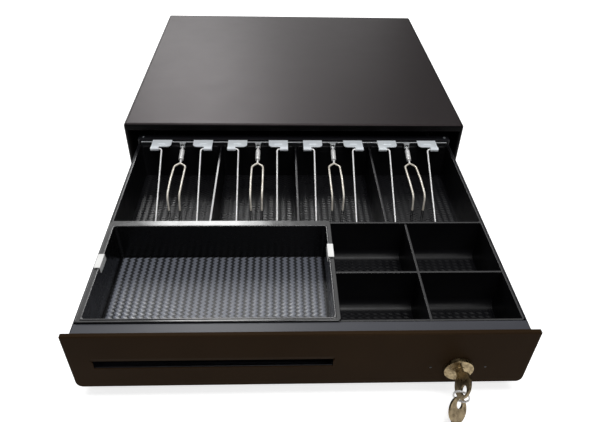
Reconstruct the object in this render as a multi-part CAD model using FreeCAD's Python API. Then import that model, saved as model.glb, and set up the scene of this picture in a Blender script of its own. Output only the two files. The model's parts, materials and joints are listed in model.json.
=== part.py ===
import FreeCAD, Part
import math
import os
from FreeCAD import Placement, Rotation, Vector

# Counter cash drawer with its drawer pulled out, in millimetres.
# X runs to the right, Y to the back and Z up. Z = 0 is the surface that the feet stand on, and
# X = Y = 0 is the middle of the whole footprint, from the hanging keys to the back of the housing.

# Housing
housing_width = 410.0
housing_depth = 365.0
body_height = 95.0
foot_height = 5.0
foot_radius = 11.0
foot_inset_x = 30.0
foot_inset_front = 20.0
foot_inset_back = 30.0
sheet = 1.0
top_bend = 4.0
front_bend = 3.5
lip_height = 9.0
lip_width = 5.0
lip_return = 10.0
lip_round = 1.5
hem = 2.0
bottom_lip = 10.0
bottom_lip_return = 15.0
pan_flange = 12.0
pan_clear = 0.2
crossbar_height = 13.5
crossbar_depth = 14.0
crossbar_gap = 0.5
pan_bead_width = 12.0
pan_bead_height = 2.0

# Drawer
drawer_side_gap = 15.0
drawer_rear_space = 62.5
drawer_overtravel = 0.5
drawer_sheet = 1.0
rim_drop = 26.0
rear_wall_rise = 6.0
rear_flange = 8.5
ledge_depth = 21.5
ledge_skirt = 8.0
till_rest_width = 8.0
till_rest_height = 8.0

# Front panel
panel_overhang = 3.0
panel_lift = 12.5
panel_drop = 16.0
panel_skin = 1.2
panel_depth = 4.0
panel_edge_round = 1.0
panel_bottom_corner = 6.0
panel_top_corner = 1.5
panel_seat = 0.3
slot_inset = 20.0
slot_length = 198.0
slot_height = 9.0
slot_below_top = 32.0
slot_bevel = 4.0
slot_wall_clear = 1.0
chute_drop = 20.0
chute_run = 15.0

# Till
till_gap = 0.5
till_wall = 1.8
till_floor = 2.0
till_back_rise = 4.5
divider = 2.0
outer_bay_extra = 6.7
coin_block_width = 158.5
cash_wall_back = 149.0
coin_row_back = 80.0
pocket_draft = 0.8
pocket_corner = 3.0
coin_scoop = 9.0
divider_drop = 1.0

# Lift-out box
box_rim = 5.0
box_rim_back = 9.0
box_rim_front = 3.5
box_rim_thick = 1.5
box_rim_round = 0.5
box_rim_corner = 2.5
box_bead = 1.2
box_wall = 1.6
box_floor = 2.0
box_floor_clear = 2.0
tab_thick = 0.8
tab_length = 18.0
tab_reach = 6.0

# Bill wires, their brackets and the rail that holds them
rail_thick = 1.2
rail_height = 13.0
bracket_thick = 1.0
bracket_width = 23.0
bracket_depth = 11.5
bracket_corner = 5.0
bracket_arm = 9.5
dimple_length = 10.0
dimple_rise = 0.6
wire_radius = 1.1
wire_fit = 0.08
wire_spread = 23.0
wire_bend = 3.0
wire_slope = 30.0
wire_floor_gap = 0.35
sleeve_wall = 1.1
sleeve_reach = 15.0

# Bill clips
clip_shift = 0.5
clip_pin_radius = 1.0
clip_pin_fit = 0.06
clip_eye_radius = 1.9
clip_eye_width = 3.0
clip_ear_thick = 1.0
clip_ear_gap = 0.3
clip_ear_reach = 1.7
clip_pin_reach = 4.5
clip_pin_drop = 4.4
clip_stem_radius = 1.2
clip_stem_length = 27.5
clip_stem_slope = 13.0
clip_spread = 6.4
prong_radius = 0.85
prong_length = 54.0
prong_shoulder = 4.0
prong_bend = 9.0
tip_wall = 0.55
tip_length = 17.0
tip_clear = 0.5
clip_collar_radius = 2.7
clip_collar_thick = 0.8
clip_spring_radius = 2.15
clip_spring_wire = 1.3
clip_spring_pitch = 3.6
clip_spring_turns = 3
wire_sides = 6

# Lock and keys
lock_inset = 61.0
lock_height = 22.0
lock_face_radius = 12.5
lock_face_depth = 3.6
lock_body_radius = 8.0
lock_body_length = 17.0
lock_hole_clear = 0.25
lock_nut_across = 22.0
lock_nut_thick = 3.0
plug_radius = 5.5
plug_fit = 0.05
plug_proud = 0.5
plug_tail = 3.0
cam_thick = 1.5
cam_width = 8.0
cam_reach = 27.0
keyway_turn = 20.0
key_thick = 1.8
key_slack = 0.1
key_blade = 20.0
key_blade_height = 7.0
key_bow_radius = 11.0
key_neck = 3.0
key_hole_radius = 4.0
key_hole_offset = 5.0
ring_radius = 6.5
ring_turn = 25.0
ring_wire = 0.6
ring_slack = 0.8
spare_direction = (-0.34, -0.76, -0.50)
spare_normal = (0.62, -0.40, 0.62)

# Slides
slide_rise = 13.0
slide_rear_space = 20.0
slide_sheet = 1.2
inner_half_height = 8.0
slide_fit = 0.4
slide_setback = 11.0
slide_step = 45.0

# Latch, solenoid, ejector and sensing switch
latch_x = 0.0
latch_plate_thick = 1.5
latch_plate_half = 40.0
latch_plate_front = 16.0
latch_ear_gap = 0.4
striker_sheet = 1.5
striker_pin_radius = 2.0
striker_pin_rise = 13.0
striker_reach = 20.0
striker_half_width = 8.0
latch_thick = 3.0
latch_pivot_back = 26.0
latch_pivot_z = 20.0
latch_pin_radius = 2.0
latch_pin_fit = 0.06
latch_tail = 12.0
latch_gap = 0.4
latch_nose_depth = 8.0
solenoid_width = 24.0
solenoid_height = 34.0
solenoid_sheet = 2.0
solenoid_base_z = 32.0
coil_radius = 9.0
plunger_radius = 4.0
plunger_fit = 0.3
plunger_neck = 2.0
plunger_foot = 1.5
ejector_x = -70.0
ejector_thick = 0.8
ejector_height = 36.0
ejector_foot = 30.0
ejector_width = 16.0
ejector_clear = 0.5
switch_width = 6.0
switch_length = 20.0
switch_button_half = 1.0
switch_offset = 9.0

# Cable socket at the back
socket_inset = 55.0
socket_z = 34.0
socket_width = 13.5
socket_height = 12.5
socket_depth = 16.0
socket_bore_width = 9.7
socket_bore_height = 6.8
socket_bore_depth = 13.0

# Levels and planes that follow from the sizes
top_z = foot_height + body_height
half_width = housing_width / 2
rim_z = top_z - rim_drop
drawer_half = half_width - drawer_side_gap
drawer_length = housing_depth - drawer_rear_space
drawer_travel = drawer_length + drawer_overtravel
panel_half = drawer_half + panel_overhang
panel_top = top_z - panel_drop
panel_bottom = foot_height + panel_lift
slot_left = -panel_half + slot_inset
slot_right = slot_left + slot_length
lock_x = panel_half - lock_inset
lock_z = panel_bottom + lock_height
key_shoulder = lock_face_depth + plug_proud + panel_seat
key_bow_centre = key_shoulder + key_neck + key_bow_radius - 1.0
key_hole_reach = key_bow_centre + key_hole_offset
key_span = key_hole_offset + key_bow_radius - 1.0 + key_neck + key_blade
keys_reach = key_hole_reach + key_span * -spare_direction[1] + 1.0
face_y = (drawer_travel + keys_reach - housing_depth) / 2
back_y = face_y + housing_depth
panel_y = face_y - drawer_travel
drawer_floor_z = panel_bottom + panel_skin + panel_seat
slide_centre_z = drawer_floor_z + slide_rise
slide_length = housing_depth - slide_rear_space
middle_length = slide_length - slide_step
striker_pin_z = drawer_floor_z + striker_pin_rise
socket_x = -half_width + socket_inset
drawer_front_y = panel_y + panel_skin
drawer_back_y = panel_y + drawer_length
till_half = drawer_half - drawer_sheet - till_gap
till_front_y = panel_y + ledge_depth + till_gap
till_back_y = drawer_back_y - drawer_sheet - till_gap
cash_wall_y = till_back_y - cash_wall_back
coin_row_y = till_back_y - cash_wall_back - coin_row_back + till_wall * 5
till_floor_z = drawer_floor_z + drawer_sheet + till_rest_height
pocket_floor_z = till_floor_z + till_floor
bay_pitch = (till_half - till_wall - outer_bay_extra) / 2
clip_pitch = bay_pitch + clip_shift
coin_wall_x = till_half - coin_block_width
rail_y = till_back_y - till_wall
rail_front_y = rail_y - rail_thick
bracket_z = rim_z + till_back_rise + bracket_thick
sleeve_y = rail_front_y - sleeve_reach
sleeve_z = bracket_z - wire_radius - wire_fit - sleeve_wall + bracket_thick
clip_pin_y = rail_front_y - clip_pin_reach
clip_pin_z = rim_z + till_back_rise - clip_pin_drop
clip_centres = [(n - 1.5) * clip_pitch for n in range(4)]

X_AXIS = Vector(1, 0, 0)
Y_AXIS = Vector(0, 1, 0)
Z_AXIS = Vector(0, 0, 1)


def block(x0, x1, y0, y1, z0, z1):
    """A rectangular block between two corners."""
    return Part.makeBox(x1 - x0, y1 - y0, z1 - z0, Vector(x0, y0, z0))


def round_bar(start, axis, radius, length):
    """A cylinder that starts at a point and runs along an axis."""
    return Part.makeCylinder(radius, length, Vector(*start), Vector(*axis))


def extruded(points, direction):
    """A closed outline of points, extruded along a direction."""
    corners = [Vector(*p) for p in points]
    face = Part.Face(Part.makePolygon(corners + [corners[0]]))
    return face.extrude(Vector(*direction))


def along_x(points, x0, x1):
    """An outline in Y and Z, extruded from x0 to x1."""
    return extruded([(x0, y, z) for y, z in points], (x1 - x0, 0, 0))


def along_y(points, y0, y1):
    """An outline in X and Z, extruded from y0 to y1."""
    return extruded([(x, y0, z) for x, z in points], (0, y1 - y0, 0))


def bent_strip(points, thickness):
    """The outline of folded sheet metal: a path of points with the thickness to its left."""
    sides = []
    for a, b in zip(points, points[1:]):
        length = math.hypot(b[0] - a[0], b[1] - a[1])
        sides.append(((a[1] - b[1]) / length, (b[0] - a[0]) / length))
    inner = []
    for i, (u, v) in enumerate(points):
        before = sides[max(i - 1, 0)]
        after = sides[min(i, len(sides) - 1)]
        scale = thickness / (1 + before[0] * after[0] + before[1] * after[1])
        inner.append((u + (before[0] + after[0]) * scale, v + (before[1] + after[1]) * scale))
    return list(points) + inner[::-1]


def edges_where(shape, test):
    """The edges of a shape whose two end points both pass a test."""
    return [e for e in shape.Edges if all(test(v.Point) for v in e.Vertexes)]


def near(a, b, tolerance=0.01):
    """Whether two lengths are the same."""
    return abs(a - b) < tolerance


def pocket(x0, x1, y0, y1, floor_z, top, corner, scoop):
    """The hollow of a moulded compartment, with tapered walls.

    Its upright corners are rounded, or its floor curves up to the front and back walls.
    """
    d = pocket_draft
    hollow = Part.makeWedge(x0 + d, floor_z, d - y1, -y1, x0, x1 - d, top, -y0 - d, -y0, x1)
    hollow.rotate(Vector(0, 0, 0), X_AXIS, 90)
    if scoop:
        edges = [e for e in edges_where(hollow, lambda p: near(p.z, floor_z))
                 if near(e.Vertexes[0].Y, e.Vertexes[1].Y)]
        return hollow.makeFillet(scoop, edges)
    uprights = [e for e in hollow.Edges if abs(e.Vertexes[0].Z - e.Vertexes[1].Z) > 1]
    return hollow.makeFillet(corner, uprights)


def wire_path(points, bends):
    """Straight runs between points, joined by tangent arcs, each with its own radius."""
    points = [Vector(*p) for p in points]
    edges = []
    last = points[0]
    for before, corner, after, bend in zip(points, points[1:], points[2:], bends):
        to_start = (before - corner).normalize()
        to_end = (after - corner).normalize()
        half = to_start.getAngle(to_end) / 2
        start = corner + to_start * (bend / math.tan(half))
        end = corner + to_end * (bend / math.tan(half))
        centre = corner + (to_start + to_end).normalize() * (bend / math.sin(half))
        middle = centre + (corner - centre).normalize() * bend
        edges.append(Part.LineSegment(last, start).toShape())
        edges.append(Part.Arc(start, middle, end).toShape())
        last = end
    edges.append(Part.LineSegment(last, points[-1]).toShape())
    return Part.Wire(edges)


def section(centre, direction, radius):
    """A six-sided wire section about a point, square to a direction."""
    turn = Rotation(Z_AXIS, direction)
    corners = []
    for n in range(wire_sides):
        angle = 2 * math.pi * (n + 0.5) / wire_sides
        offset = Vector(math.cos(angle), math.sin(angle), 0) * radius
        corners.append(centre + turn.multVec(offset))
    return Part.makePolygon(corners + [corners[0]])


def swept_wire(points, radius, bends):
    """A wire bent along a path."""
    first, second = Vector(*points[0]), Vector(*points[1])
    outline = section(first, second - first, radius)
    return wire_path(points, bends).makePipeShell([outline], True, False)


def straight_wire(start, end, radius):
    """A straight length of wire."""
    run = Vector(*end) - Vector(*start)
    return Part.Face(section(Vector(*start), run, radius)).extrude(run)


def arc_from_corner(start, corner, end):
    """The arc that is tangent to start-corner and corner-end."""
    chord_middle = (start + end) * 0.5
    rise = corner - chord_middle
    half_chord = (end - start).Length / 2
    tangent = (corner - start).Length
    radius = tangent * half_chord / rise.Length
    sagitta = radius - math.sqrt(radius ** 2 - half_chord ** 2)
    return Part.Arc(start, chord_middle + rise.normalize() * sagitta, end).toShape()


def coil_path(radius, pitch, turns, straight):
    """A helix about Z as a pair of tangent arcs to each half turn, with straight ends."""

    def place(angle):
        return Vector(radius * math.cos(angle), radius * math.sin(angle), pitch * angle / 2 / math.pi)

    def heading(angle):
        rise = pitch / 2 / math.pi
        return Vector(-radius * math.sin(angle), radius * math.cos(angle), rise).normalize()

    step = math.pi
    count = int(round(turns * 2))
    edges = [Part.LineSegment(place(0) - heading(0) * straight, place(0)).toShape()]
    for n in range(count):
        p0, p1 = place(n * step), place((n + 1) * step)
        t0, t1 = heading(n * step), heading((n + 1) * step)
        chord = p1 - p0
        both = t0 + t1
        turn = 2 * (1 - t0.dot(t1))
        reach = (-chord.dot(both) + math.sqrt(chord.dot(both) ** 2 + turn * chord.dot(chord))) / turn
        c0, c1 = p0 + t0 * reach, p1 - t1 * reach
        joint = (c0 + c1) * 0.5
        edges.append(arc_from_corner(p0, c0, joint))
        edges.append(arc_from_corner(joint, c1, p1))
    end = count * step
    edges.append(Part.LineSegment(place(end), place(end) + heading(end) * straight).toShape())
    return Part.Wire(edges)


def coil_spring(name, radius, wire, pitch, turns):
    """A coil spring about Z as one tube, whose least gap to itself is measured and printed."""
    path = coil_path(radius, pitch, turns, wire)
    start = path.Edges[0].Vertexes[0].Point
    heading = (path.Edges[0].Vertexes[1].Point - start).normalize()
    tube = path.makePipeShell([section(start, heading, wire / 2)], True, False)
    samples = [p for edge in path.Edges for p in edge.discretize(5)[:-1]]
    per_turn = 2 * 2 * 4
    nearest = min(
        (samples[i] - samples[j]).Length
        for i in range(0, len(samples), 3)
        for j in range(i + per_turn // 2, min(i + 2 * per_turn, len(samples)))
    )
    print(f"{name}: least gap {nearest - wire:.2f} mm, {turns} turns")
    return tube


def placed(shape, origin, x_axis, y_axis):
    """A shape moved so that its own X and Y axes point along two given directions."""
    x = Vector(*x_axis).normalize()
    z = x.cross(Vector(*y_axis)).normalize()
    turn = Rotation(x, z.cross(x), z, "XYZ")
    moved = shape.copy()
    moved.Placement = Placement(Vector(*origin), turn)
    return moved


def joined(shapes):
    """Several overlapping shapes as one clean solid."""
    first, *rest = shapes
    return first.fuse(rest).removeSplitter()


def group(shapes):
    """Separate solids kept in one node."""
    return Part.makeCompound(shapes)


def mirrored(shape):
    """The same shape on the other side of the middle plane."""
    return shape.mirror(Vector(0, 0, 0), X_AXIS)


# Housing

def housing_cover():
    """Top, two sides and the front frame, folded from one sheet."""

    def shell(inset, front):
        x = half_width - inset
        outer = block(-x, x, face_y + front, back_y + front, foot_height - front, top_z - inset)
        tops = edges_where(outer, lambda p: near(p.z, top_z - inset) and near(abs(p.x), x))
        tops = [e for e in tops if near(e.Vertexes[0].X, e.Vertexes[1].X)]
        outer = outer.makeFillet(top_bend - inset, tops)
        level = top_z - inset
        front_top = [
            e for e in outer.Edges
            if all(near(v.Y, face_y + front) for v in e.Vertexes)
            and all(near(v.Z, level) for v in e.Vertexes)
        ]
        outer = outer.makeFillet(front_bend - inset, front_top)
        return outer

    skin = shell(0, 0).cut(shell(sheet, sheet))
    x = half_width - lip_width
    low = top_z - lip_height
    skin = skin.cut(block(-x, x, face_y - 1, face_y + 2 * sheet, 0, low))
    frame = block(-x - hem, x + hem, face_y, face_y + lip_return, foot_height, low + hem)
    hollow = block(-x, x, face_y - 1, face_y + lip_return + 1, 0, low)
    frame = frame.cut(hollow)
    edge = [e for e in frame.Edges if all(near(v.Y, face_y) for v in e.Vertexes)
            and (all(near(v.Z, low) for v in e.Vertexes)
                 or all(near(abs(v.X), x) for v in e.Vertexes))]
    frame = frame.makeFillet(lip_round, edge)
    skin = skin.cut(block(-x - lip_round, x + lip_round, face_y - 1, face_y + 2 * sheet,
                          0, low + lip_round))
    skin = skin.fuse(frame).removeSplitter()
    return skin


def base_pan():
    """Bottom, back wall, side flanges and front lip, folded from one sheet."""
    x = half_width - sheet - pan_clear
    lip_x = half_width - lip_width - sheet - pan_clear
    low, high = foot_height, foot_height + sheet
    floor = block(-x, x, face_y + lip_return + pan_clear, back_y, low, high)
    front = block(-lip_x, lip_x, face_y, face_y + lip_return + 1, low, high)
    lip = along_x(
        bent_strip([(face_y + bottom_lip_return, low + bottom_lip), (face_y, low + bottom_lip),
                    (face_y, low)], sheet),
        -lip_x, lip_x)
    back = block(-x, x, back_y - sheet, back_y, low, top_z - sheet - pan_clear)
    crown = [e for e in edges_where(back, lambda p: p.z > top_z - 2 * sheet and near(abs(p.x), x))
             if e.Length < 2 * sheet]
    back = back.makeFillet(top_bend - sheet, crown)
    sides = [block(s * x - (sheet if s > 0 else 0), s * x + (0 if s > 0 else sheet),
                   face_y + lip_return + pan_clear, back_y, low, low + pan_flange) for s in (-1, 1)]
    pan = joined([floor, front, lip, back] + sides)
    for y in (face_y + housing_depth * 0.3, face_y + housing_depth * 0.62):
        pan = pressed_bead(pan, y)
    hole = block(socket_x - socket_width / 2, socket_x + socket_width / 2, back_y - 2, back_y + 1,
                 socket_z - socket_height / 2, socket_z + socket_height / 2)
    return pan.cut(hole)


def pressed_bead(pan, y):
    """A stiffening bead pressed up across the floor of the pan."""
    low, high = foot_height, foot_height + sheet
    length = half_width - 4 * pan_flange
    half = pan_bead_width / 2
    outer = [(y - half, high), (y - half + pan_bead_height, high + pan_bead_height),
             (y + half - pan_bead_height, high + pan_bead_height), (y + half, high)]
    inner = [(y - half, low), (y - half + pan_bead_height, low + pan_bead_height),
             (y + half - pan_bead_height, low + pan_bead_height), (y + half, low)]
    raised = along_x([(y - half, low)] + outer + [(y + half, low)], -length, length)
    return pan.fuse(raised).cut(along_x(inner, -length + sheet, length - sheet))


def front_crossbar():
    """Channel under the top, close behind the lip."""
    y = face_y + lip_return + crossbar_gap
    top = top_z - sheet
    outline = [(y + crossbar_depth, top), (y, top), (y, top_z - sheet - crossbar_height),
               (y + crossbar_depth, top_z - sheet - crossbar_height)]
    x = half_width - top_bend - sheet
    return along_x(bent_strip(outline, sheet), -x, x)


def rubber_feet():
    """Four tapered feet."""
    feet = []
    for side in (-1, 1):
        for y in (face_y + foot_inset_front, back_y - foot_inset_back):
            centre = Vector(side * (half_width - foot_inset_x), y, 0)
            feet.append(Part.makeCone(foot_radius - 1.5, foot_radius, foot_height, centre))
    return group(feet)


def cable_socket():
    """Modular socket for the drawer-kick lead, with its mouth at the back wall."""
    x, z = socket_x, socket_z
    clear = pan_clear
    body = block(x - socket_width / 2 + clear, x + socket_width / 2 - clear,
                 back_y - socket_depth, back_y,
                 z - socket_height / 2 + clear, z + socket_height / 2 - clear)
    flange = block(x - socket_width / 2 - 1.5, x + socket_width / 2 + 1.5,
                   back_y - sheet - 1.5, back_y - sheet,
                   z - socket_height / 2 - 1.5, z + socket_height / 2 + 1.5)
    hollow = block(x - socket_bore_width / 2, x + socket_bore_width / 2,
                   back_y - socket_bore_depth, back_y + 1,
                   z - socket_bore_height / 2, z + socket_bore_height / 2)
    latch = block(x - 2, x + 2, back_y - socket_bore_depth, back_y + 1,
                  z - socket_bore_height / 2 - 1.8, z)
    steps = joined([body, flange]).cut(hollow).cut(latch)
    contacts = [block(x + (n - 2.5) * 1.27 - 0.2, x + (n - 2.5) * 1.27 + 0.2,
                      back_y - socket_bore_depth - 0.5, back_y - socket_bore_depth + 6,
                      z + socket_bore_height / 2 - 0.9, z + socket_bore_height / 2 + 0.2)
                for n in range(6)]
    return joined([steps] + contacts)


# Slides

def slide_profiles():
    """Outlines in X and Z of the three members of the right-hand slide."""
    near_x = drawer_half
    far_x = half_width - sheet
    t = slide_sheet
    h1 = inner_half_height
    h2 = h1 + slide_fit + t
    h3 = h2 + slide_fit + t
    span = far_x - near_x
    inner_tip = near_x + span * 0.42
    middle_web = inner_tip + slide_fit
    middle_tip = half_width - lip_width - slide_fit
    z = slide_centre_z
    inner = bent_strip([(inner_tip, z + h1), (near_x, z + h1), (near_x, z - h1),
                        (inner_tip, z - h1)], t)
    top = [(near_x + t + slide_fit + 0.4, z + h2), (middle_tip, z + h2)]
    middle = top + [(middle_tip, z + h2 - t), (middle_web + t, z + h2 - t),
                    (middle_web + t, z - h2 + t), (middle_tip, z - h2 + t),
                    (middle_tip, z - h2), (top[0][0], z - h2), (top[0][0], z - h2 + t),
                    (middle_web, z - h2 + t), (middle_web, z + h2 - t), (top[0][0], z + h2 - t)]
    outer_tip = near_x + span * 0.3
    outer = bent_strip([(outer_tip, z - h3), (far_x, z - h3), (far_x, z + h3),
                        (outer_tip, z + h3)], t)
    return inner, middle, outer


def slide_members():
    """The right-hand slide's three members: inner, middle and outer."""
    inner, middle, outer = slide_profiles()
    start = face_y + slide_setback
    outer_member = along_y(outer, start, start + slide_length)
    inner_member = along_y(inner, panel_y + slide_setback, drawer_back_y)
    middle_start = start - drawer_travel / 2
    middle_member = along_y(middle, middle_start, middle_start + middle_length)
    return inner_member, middle_member, outer_member


# Drawer

def drawer_body():
    """Steel drawer: floor, walls, front ledge, rear flange and the rests for the till."""
    t = drawer_sheet
    x = drawer_half
    y0, y1 = drawer_front_y, drawer_back_y
    z0 = drawer_floor_z
    floor = block(-x, x, y0, y1, z0, z0 + t)
    sides = [block(s * x - (t if s > 0 else 0), s * x + (0 if s > 0 else t), y0, y1, z0, rim_z)
             for s in (-1, 1)]
    front = [(y0, z0), (y0, rim_z), (y0 + ledge_depth - panel_skin, rim_z),
             (y0 + ledge_depth - panel_skin, rim_z - ledge_skirt)]
    ledge = along_x(bent_strip(front[::-1], t), -x, x)
    wall_top = rim_z + rear_wall_rise
    rear_wall = along_x([(y1 - t, z0), (y1, z0), (y1, wall_top - t), (y1 + rear_flange, wall_top - t),
                         (y1 + rear_flange, wall_top), (y1 - t, wall_top)], -x, x)
    rests = []
    for s in (-1, 1):
        wall = s * (x - t)
        leg = bent_strip([(wall, z0 + t), (wall, till_floor_z), (wall - s * till_rest_width,
                                                                 till_floor_z)], s * t)
        rests.append(along_y(leg, till_front_y + 2, till_back_y - 4))
    body = joined([floor] + sides + [ledge, rear_wall] + rests)
    body = body.cut(slot_hollow(slot_wall_clear, drawer_front_y - 1, drawer_front_y + 2 * t))
    body = body.cut(round_bar((lock_x, y0 - 1, lock_z), (0, 1, 0), lock_body_radius + lock_hole_clear,
                              3 * t))
    cam_y = panel_y + lock_body_length + plug_proud
    body = body.cut(block(lock_x - cam_width / 2 - 2, lock_x + cam_reach, cam_y - 1.5,
                          cam_y + cam_thick + 1, z0 - 1, z0 + 2 * t))
    return body


def slot_hollow(clear, y0, y1):
    """The space of the media slot between two planes."""
    top = panel_top - slot_below_top + clear
    return block(slot_left - clear, slot_right + clear, y0, y1,
                 top - slot_height - 2 * clear, top)


def panel_outline(inset, y):
    """The panel's outline in X and Z, with small corners above and large ones below."""
    x = panel_half - inset
    low, high = panel_bottom + inset, panel_top - inset
    r, q = panel_bottom_corner - inset, max(panel_top_corner - inset, 0.3)
    edges = []
    last = Vector(x - r, y, low)
    edges.append(Part.LineSegment(Vector(-x + r, y, low), last).toShape())
    for cx, cz, radius, a in ((x - r, low + r, r, -90), (x - q, high - q, q, 0),
                              (-x + q, high - q, q, 90), (-x + r, low + r, r, 180)):
        points = [Vector(cx + radius * math.cos(math.radians(a + d)), y,
                         cz + radius * math.sin(math.radians(a + d))) for d in (0, 45, 90)]
        if (points[0] - last).Length > 1e-6:
            edges.append(Part.LineSegment(last, points[0]).toShape())
        edges.append(Part.Arc(*points).toShape())
        last = points[2]
    return Part.Wire(edges)


def front_panel():
    """Pressed steel front with returned edges, the media slot and the lock's hole."""
    outer = Part.Face(panel_outline(0, panel_y)).extrude(Vector(0, panel_depth, 0))
    front_edges = edges_where(outer, lambda p: near(p.y, panel_y))
    outer = outer.makeChamfer(panel_edge_round, front_edges)
    inner = Part.Face(panel_outline(panel_skin, panel_y + panel_skin))
    panel = outer.cut(inner.extrude(Vector(0, panel_depth, 0)))
    panel = panel.cut(slot_hollow(0, panel_y - 1, panel_y + 3 * panel_skin)).cut(slot_facet())
    hole = round_bar((lock_x, panel_y - 1, lock_z), (0, 1, 0), lock_body_radius + lock_hole_clear,
                     3 * panel_skin)
    return panel.cut(hole)


def slot_facet():
    """Wedge cut into the panel's face along the top of the media slot."""
    top = panel_top - slot_below_top
    y = panel_y
    depth = panel_skin * 0.75
    outline = [(y - 0.5, top + slot_bevel * 1.2), (y, top + slot_bevel), (y + depth, top),
               (y + depth, top - 0.5), (y - 0.5, top - 0.5)]
    return along_x(outline, slot_left - slot_bevel / 4, slot_right + slot_bevel / 4)


def media_chute():
    """Bent sheet behind the slot that leads cheques down under the till."""
    t = drawer_sheet
    y = drawer_front_y + t
    top = panel_top - slot_below_top - slot_height - slot_wall_clear
    low = top - chute_drop
    outline = [(y, top - chute_drop * 0.6), (y, top), (y + t, top), (y + t + chute_run, low),
               (y + chute_run - 0.4, low), (y + t, top - 2 * t), (y + t, top - chute_drop * 0.6)]
    return along_x(outline, slot_left, slot_right)


def striker():
    """Bracket and round pin on the drawer's back that the latch catches."""
    t = striker_sheet
    y = drawer_back_y
    w = striker_half_width
    z = striker_pin_z
    plate = block(latch_x - w - 8, latch_x + w + 8, y, y + t, z - 8, z + 9)
    ears = []
    for s in (-1, 1):
        x = latch_x + s * w
        ear = extruded([(x, y, z - 8), (x, y, z + 8), (x, y + striker_reach - 4, z + 4),
                        (x, y + striker_reach, z), (x, y + striker_reach - 4, z - 4)],
                       (s * t, 0, 0))
        ears.append(ear)
    pin = round_bar((latch_x - w, y + striker_reach - 4, z), (1, 0, 0), striker_pin_radius, 2 * w)
    return joined([plate] + ears + [pin])


# Till

def till_pockets():
    """The six open compartments of the till, four for notes and four for coins."""
    wall_back = rail_front_y
    hollows = []
    inner = till_half - till_wall
    edges = [-inner, -bay_pitch, 0, bay_pitch, inner]
    for a, b in zip(edges, edges[1:]):
        left = a + (divider / 2 if a > -inner else 0)
        right = b - (divider / 2 if b < inner else 0)
        hollows.append((left, right, cash_wall_y, wall_back, 0))
    front = till_front_y + till_wall
    coin_mid = (coin_wall_x + inner + divider / 2) / 2
    for x0, x1 in ((coin_wall_x + divider / 2, coin_mid - divider / 2),
                   (coin_mid + divider / 2, inner)):
        hollows.append((x0, x1, coin_row_y + divider / 2, cash_wall_y - divider, coin_scoop))
        hollows.append((x0, x1, front, coin_row_y - divider / 2, coin_scoop))
    return hollows


def till_tray():
    """Moulded till: a thin-walled tray with note bays, coin cups and a well for the box."""
    tray = block(-till_half, till_half, till_front_y, till_back_y, till_floor_z, rim_z)
    back = block(-till_half, till_half, till_back_y - till_wall, till_back_y, till_floor_z,
                 rim_z + till_back_rise)
    corners = [e for e in tray.Edges if near(e.Vertexes[0].X, e.Vertexes[1].X)
               and near(e.Vertexes[0].Y, e.Vertexes[1].Y) and e.Vertexes[0].Y < till_back_y - 1]
    tray = tray.makeFillet(pocket_corner, corners).fuse(back)
    for x0, x1, y0, y1, scoop in till_pockets():
        tray = tray.cut(pocket(x0, x1, y0, y1, pocket_floor_z, rim_z + 0.01, pocket_corner, scoop))
    well = block(-till_half + till_wall, coin_wall_x - divider / 2, till_front_y + till_wall,
                 cash_wall_y - divider, pocket_floor_z, rim_z + 1)
    tray = tray.cut(well)
    lowered = block(-till_half + till_wall, till_half - till_wall, cash_wall_y + 1, rail_front_y,
                    rim_z - divider_drop, rim_z + 1)
    coin_lowered = block(coin_wall_x + divider / 2, till_half - till_wall, till_front_y + till_wall,
                         cash_wall_y - divider, rim_z - divider_drop, rim_z + 1)
    tray = tray.cut(lowered).cut(coin_lowered)
    seat = block(-till_half + till_wall, till_half - till_wall, rail_front_y, rail_y,
                 rim_z + till_back_rise - rail_height, rim_z + till_back_rise + 1)
    return tray.cut(seat).removeSplitter()


def clip_rail():
    """Zinc strip along the back of the till, with an eared hanger at each note bay."""
    x = till_half - till_wall - 1
    top = rim_z + till_back_rise
    parts = [block(-x, x, rail_front_y, rail_y, top - rail_height, top)]
    y, z = clip_pin_y, clip_pin_z
    inside = clip_eye_width / 2 + clip_ear_gap
    for centre in clip_centres:
        plate = extruded([(centre - inside - 2.5, rail_front_y + 0.5, top - 1),
                          (centre + inside + 2.5, rail_front_y + 0.5, top - 1),
                          (centre + inside + clip_ear_thick, y, top - 1),
                          (centre - inside - clip_ear_thick, y, top - 1)], (0, 0, 1))
        parts.append(plate)
        for s in (-1, 1):
            a, b = sorted((centre + s * inside, centre + s * (inside + clip_ear_thick)))
            ear = [(y - 1.6, z - 0.8), (y - 0.8, z - 1.6), (rail_front_y + 0.5, z - 1.6),
                   (rail_front_y + 0.5, top), (y, top), (y - 1.6, z + 1)]
            parts.append(along_x(ear, a, b))
        parts.append(round_bar((centre - inside - clip_ear_thick, y, z), (1, 0, 0), clip_pin_radius,
                               2 * (inside + clip_ear_thick)))
    return joined(parts)


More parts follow.
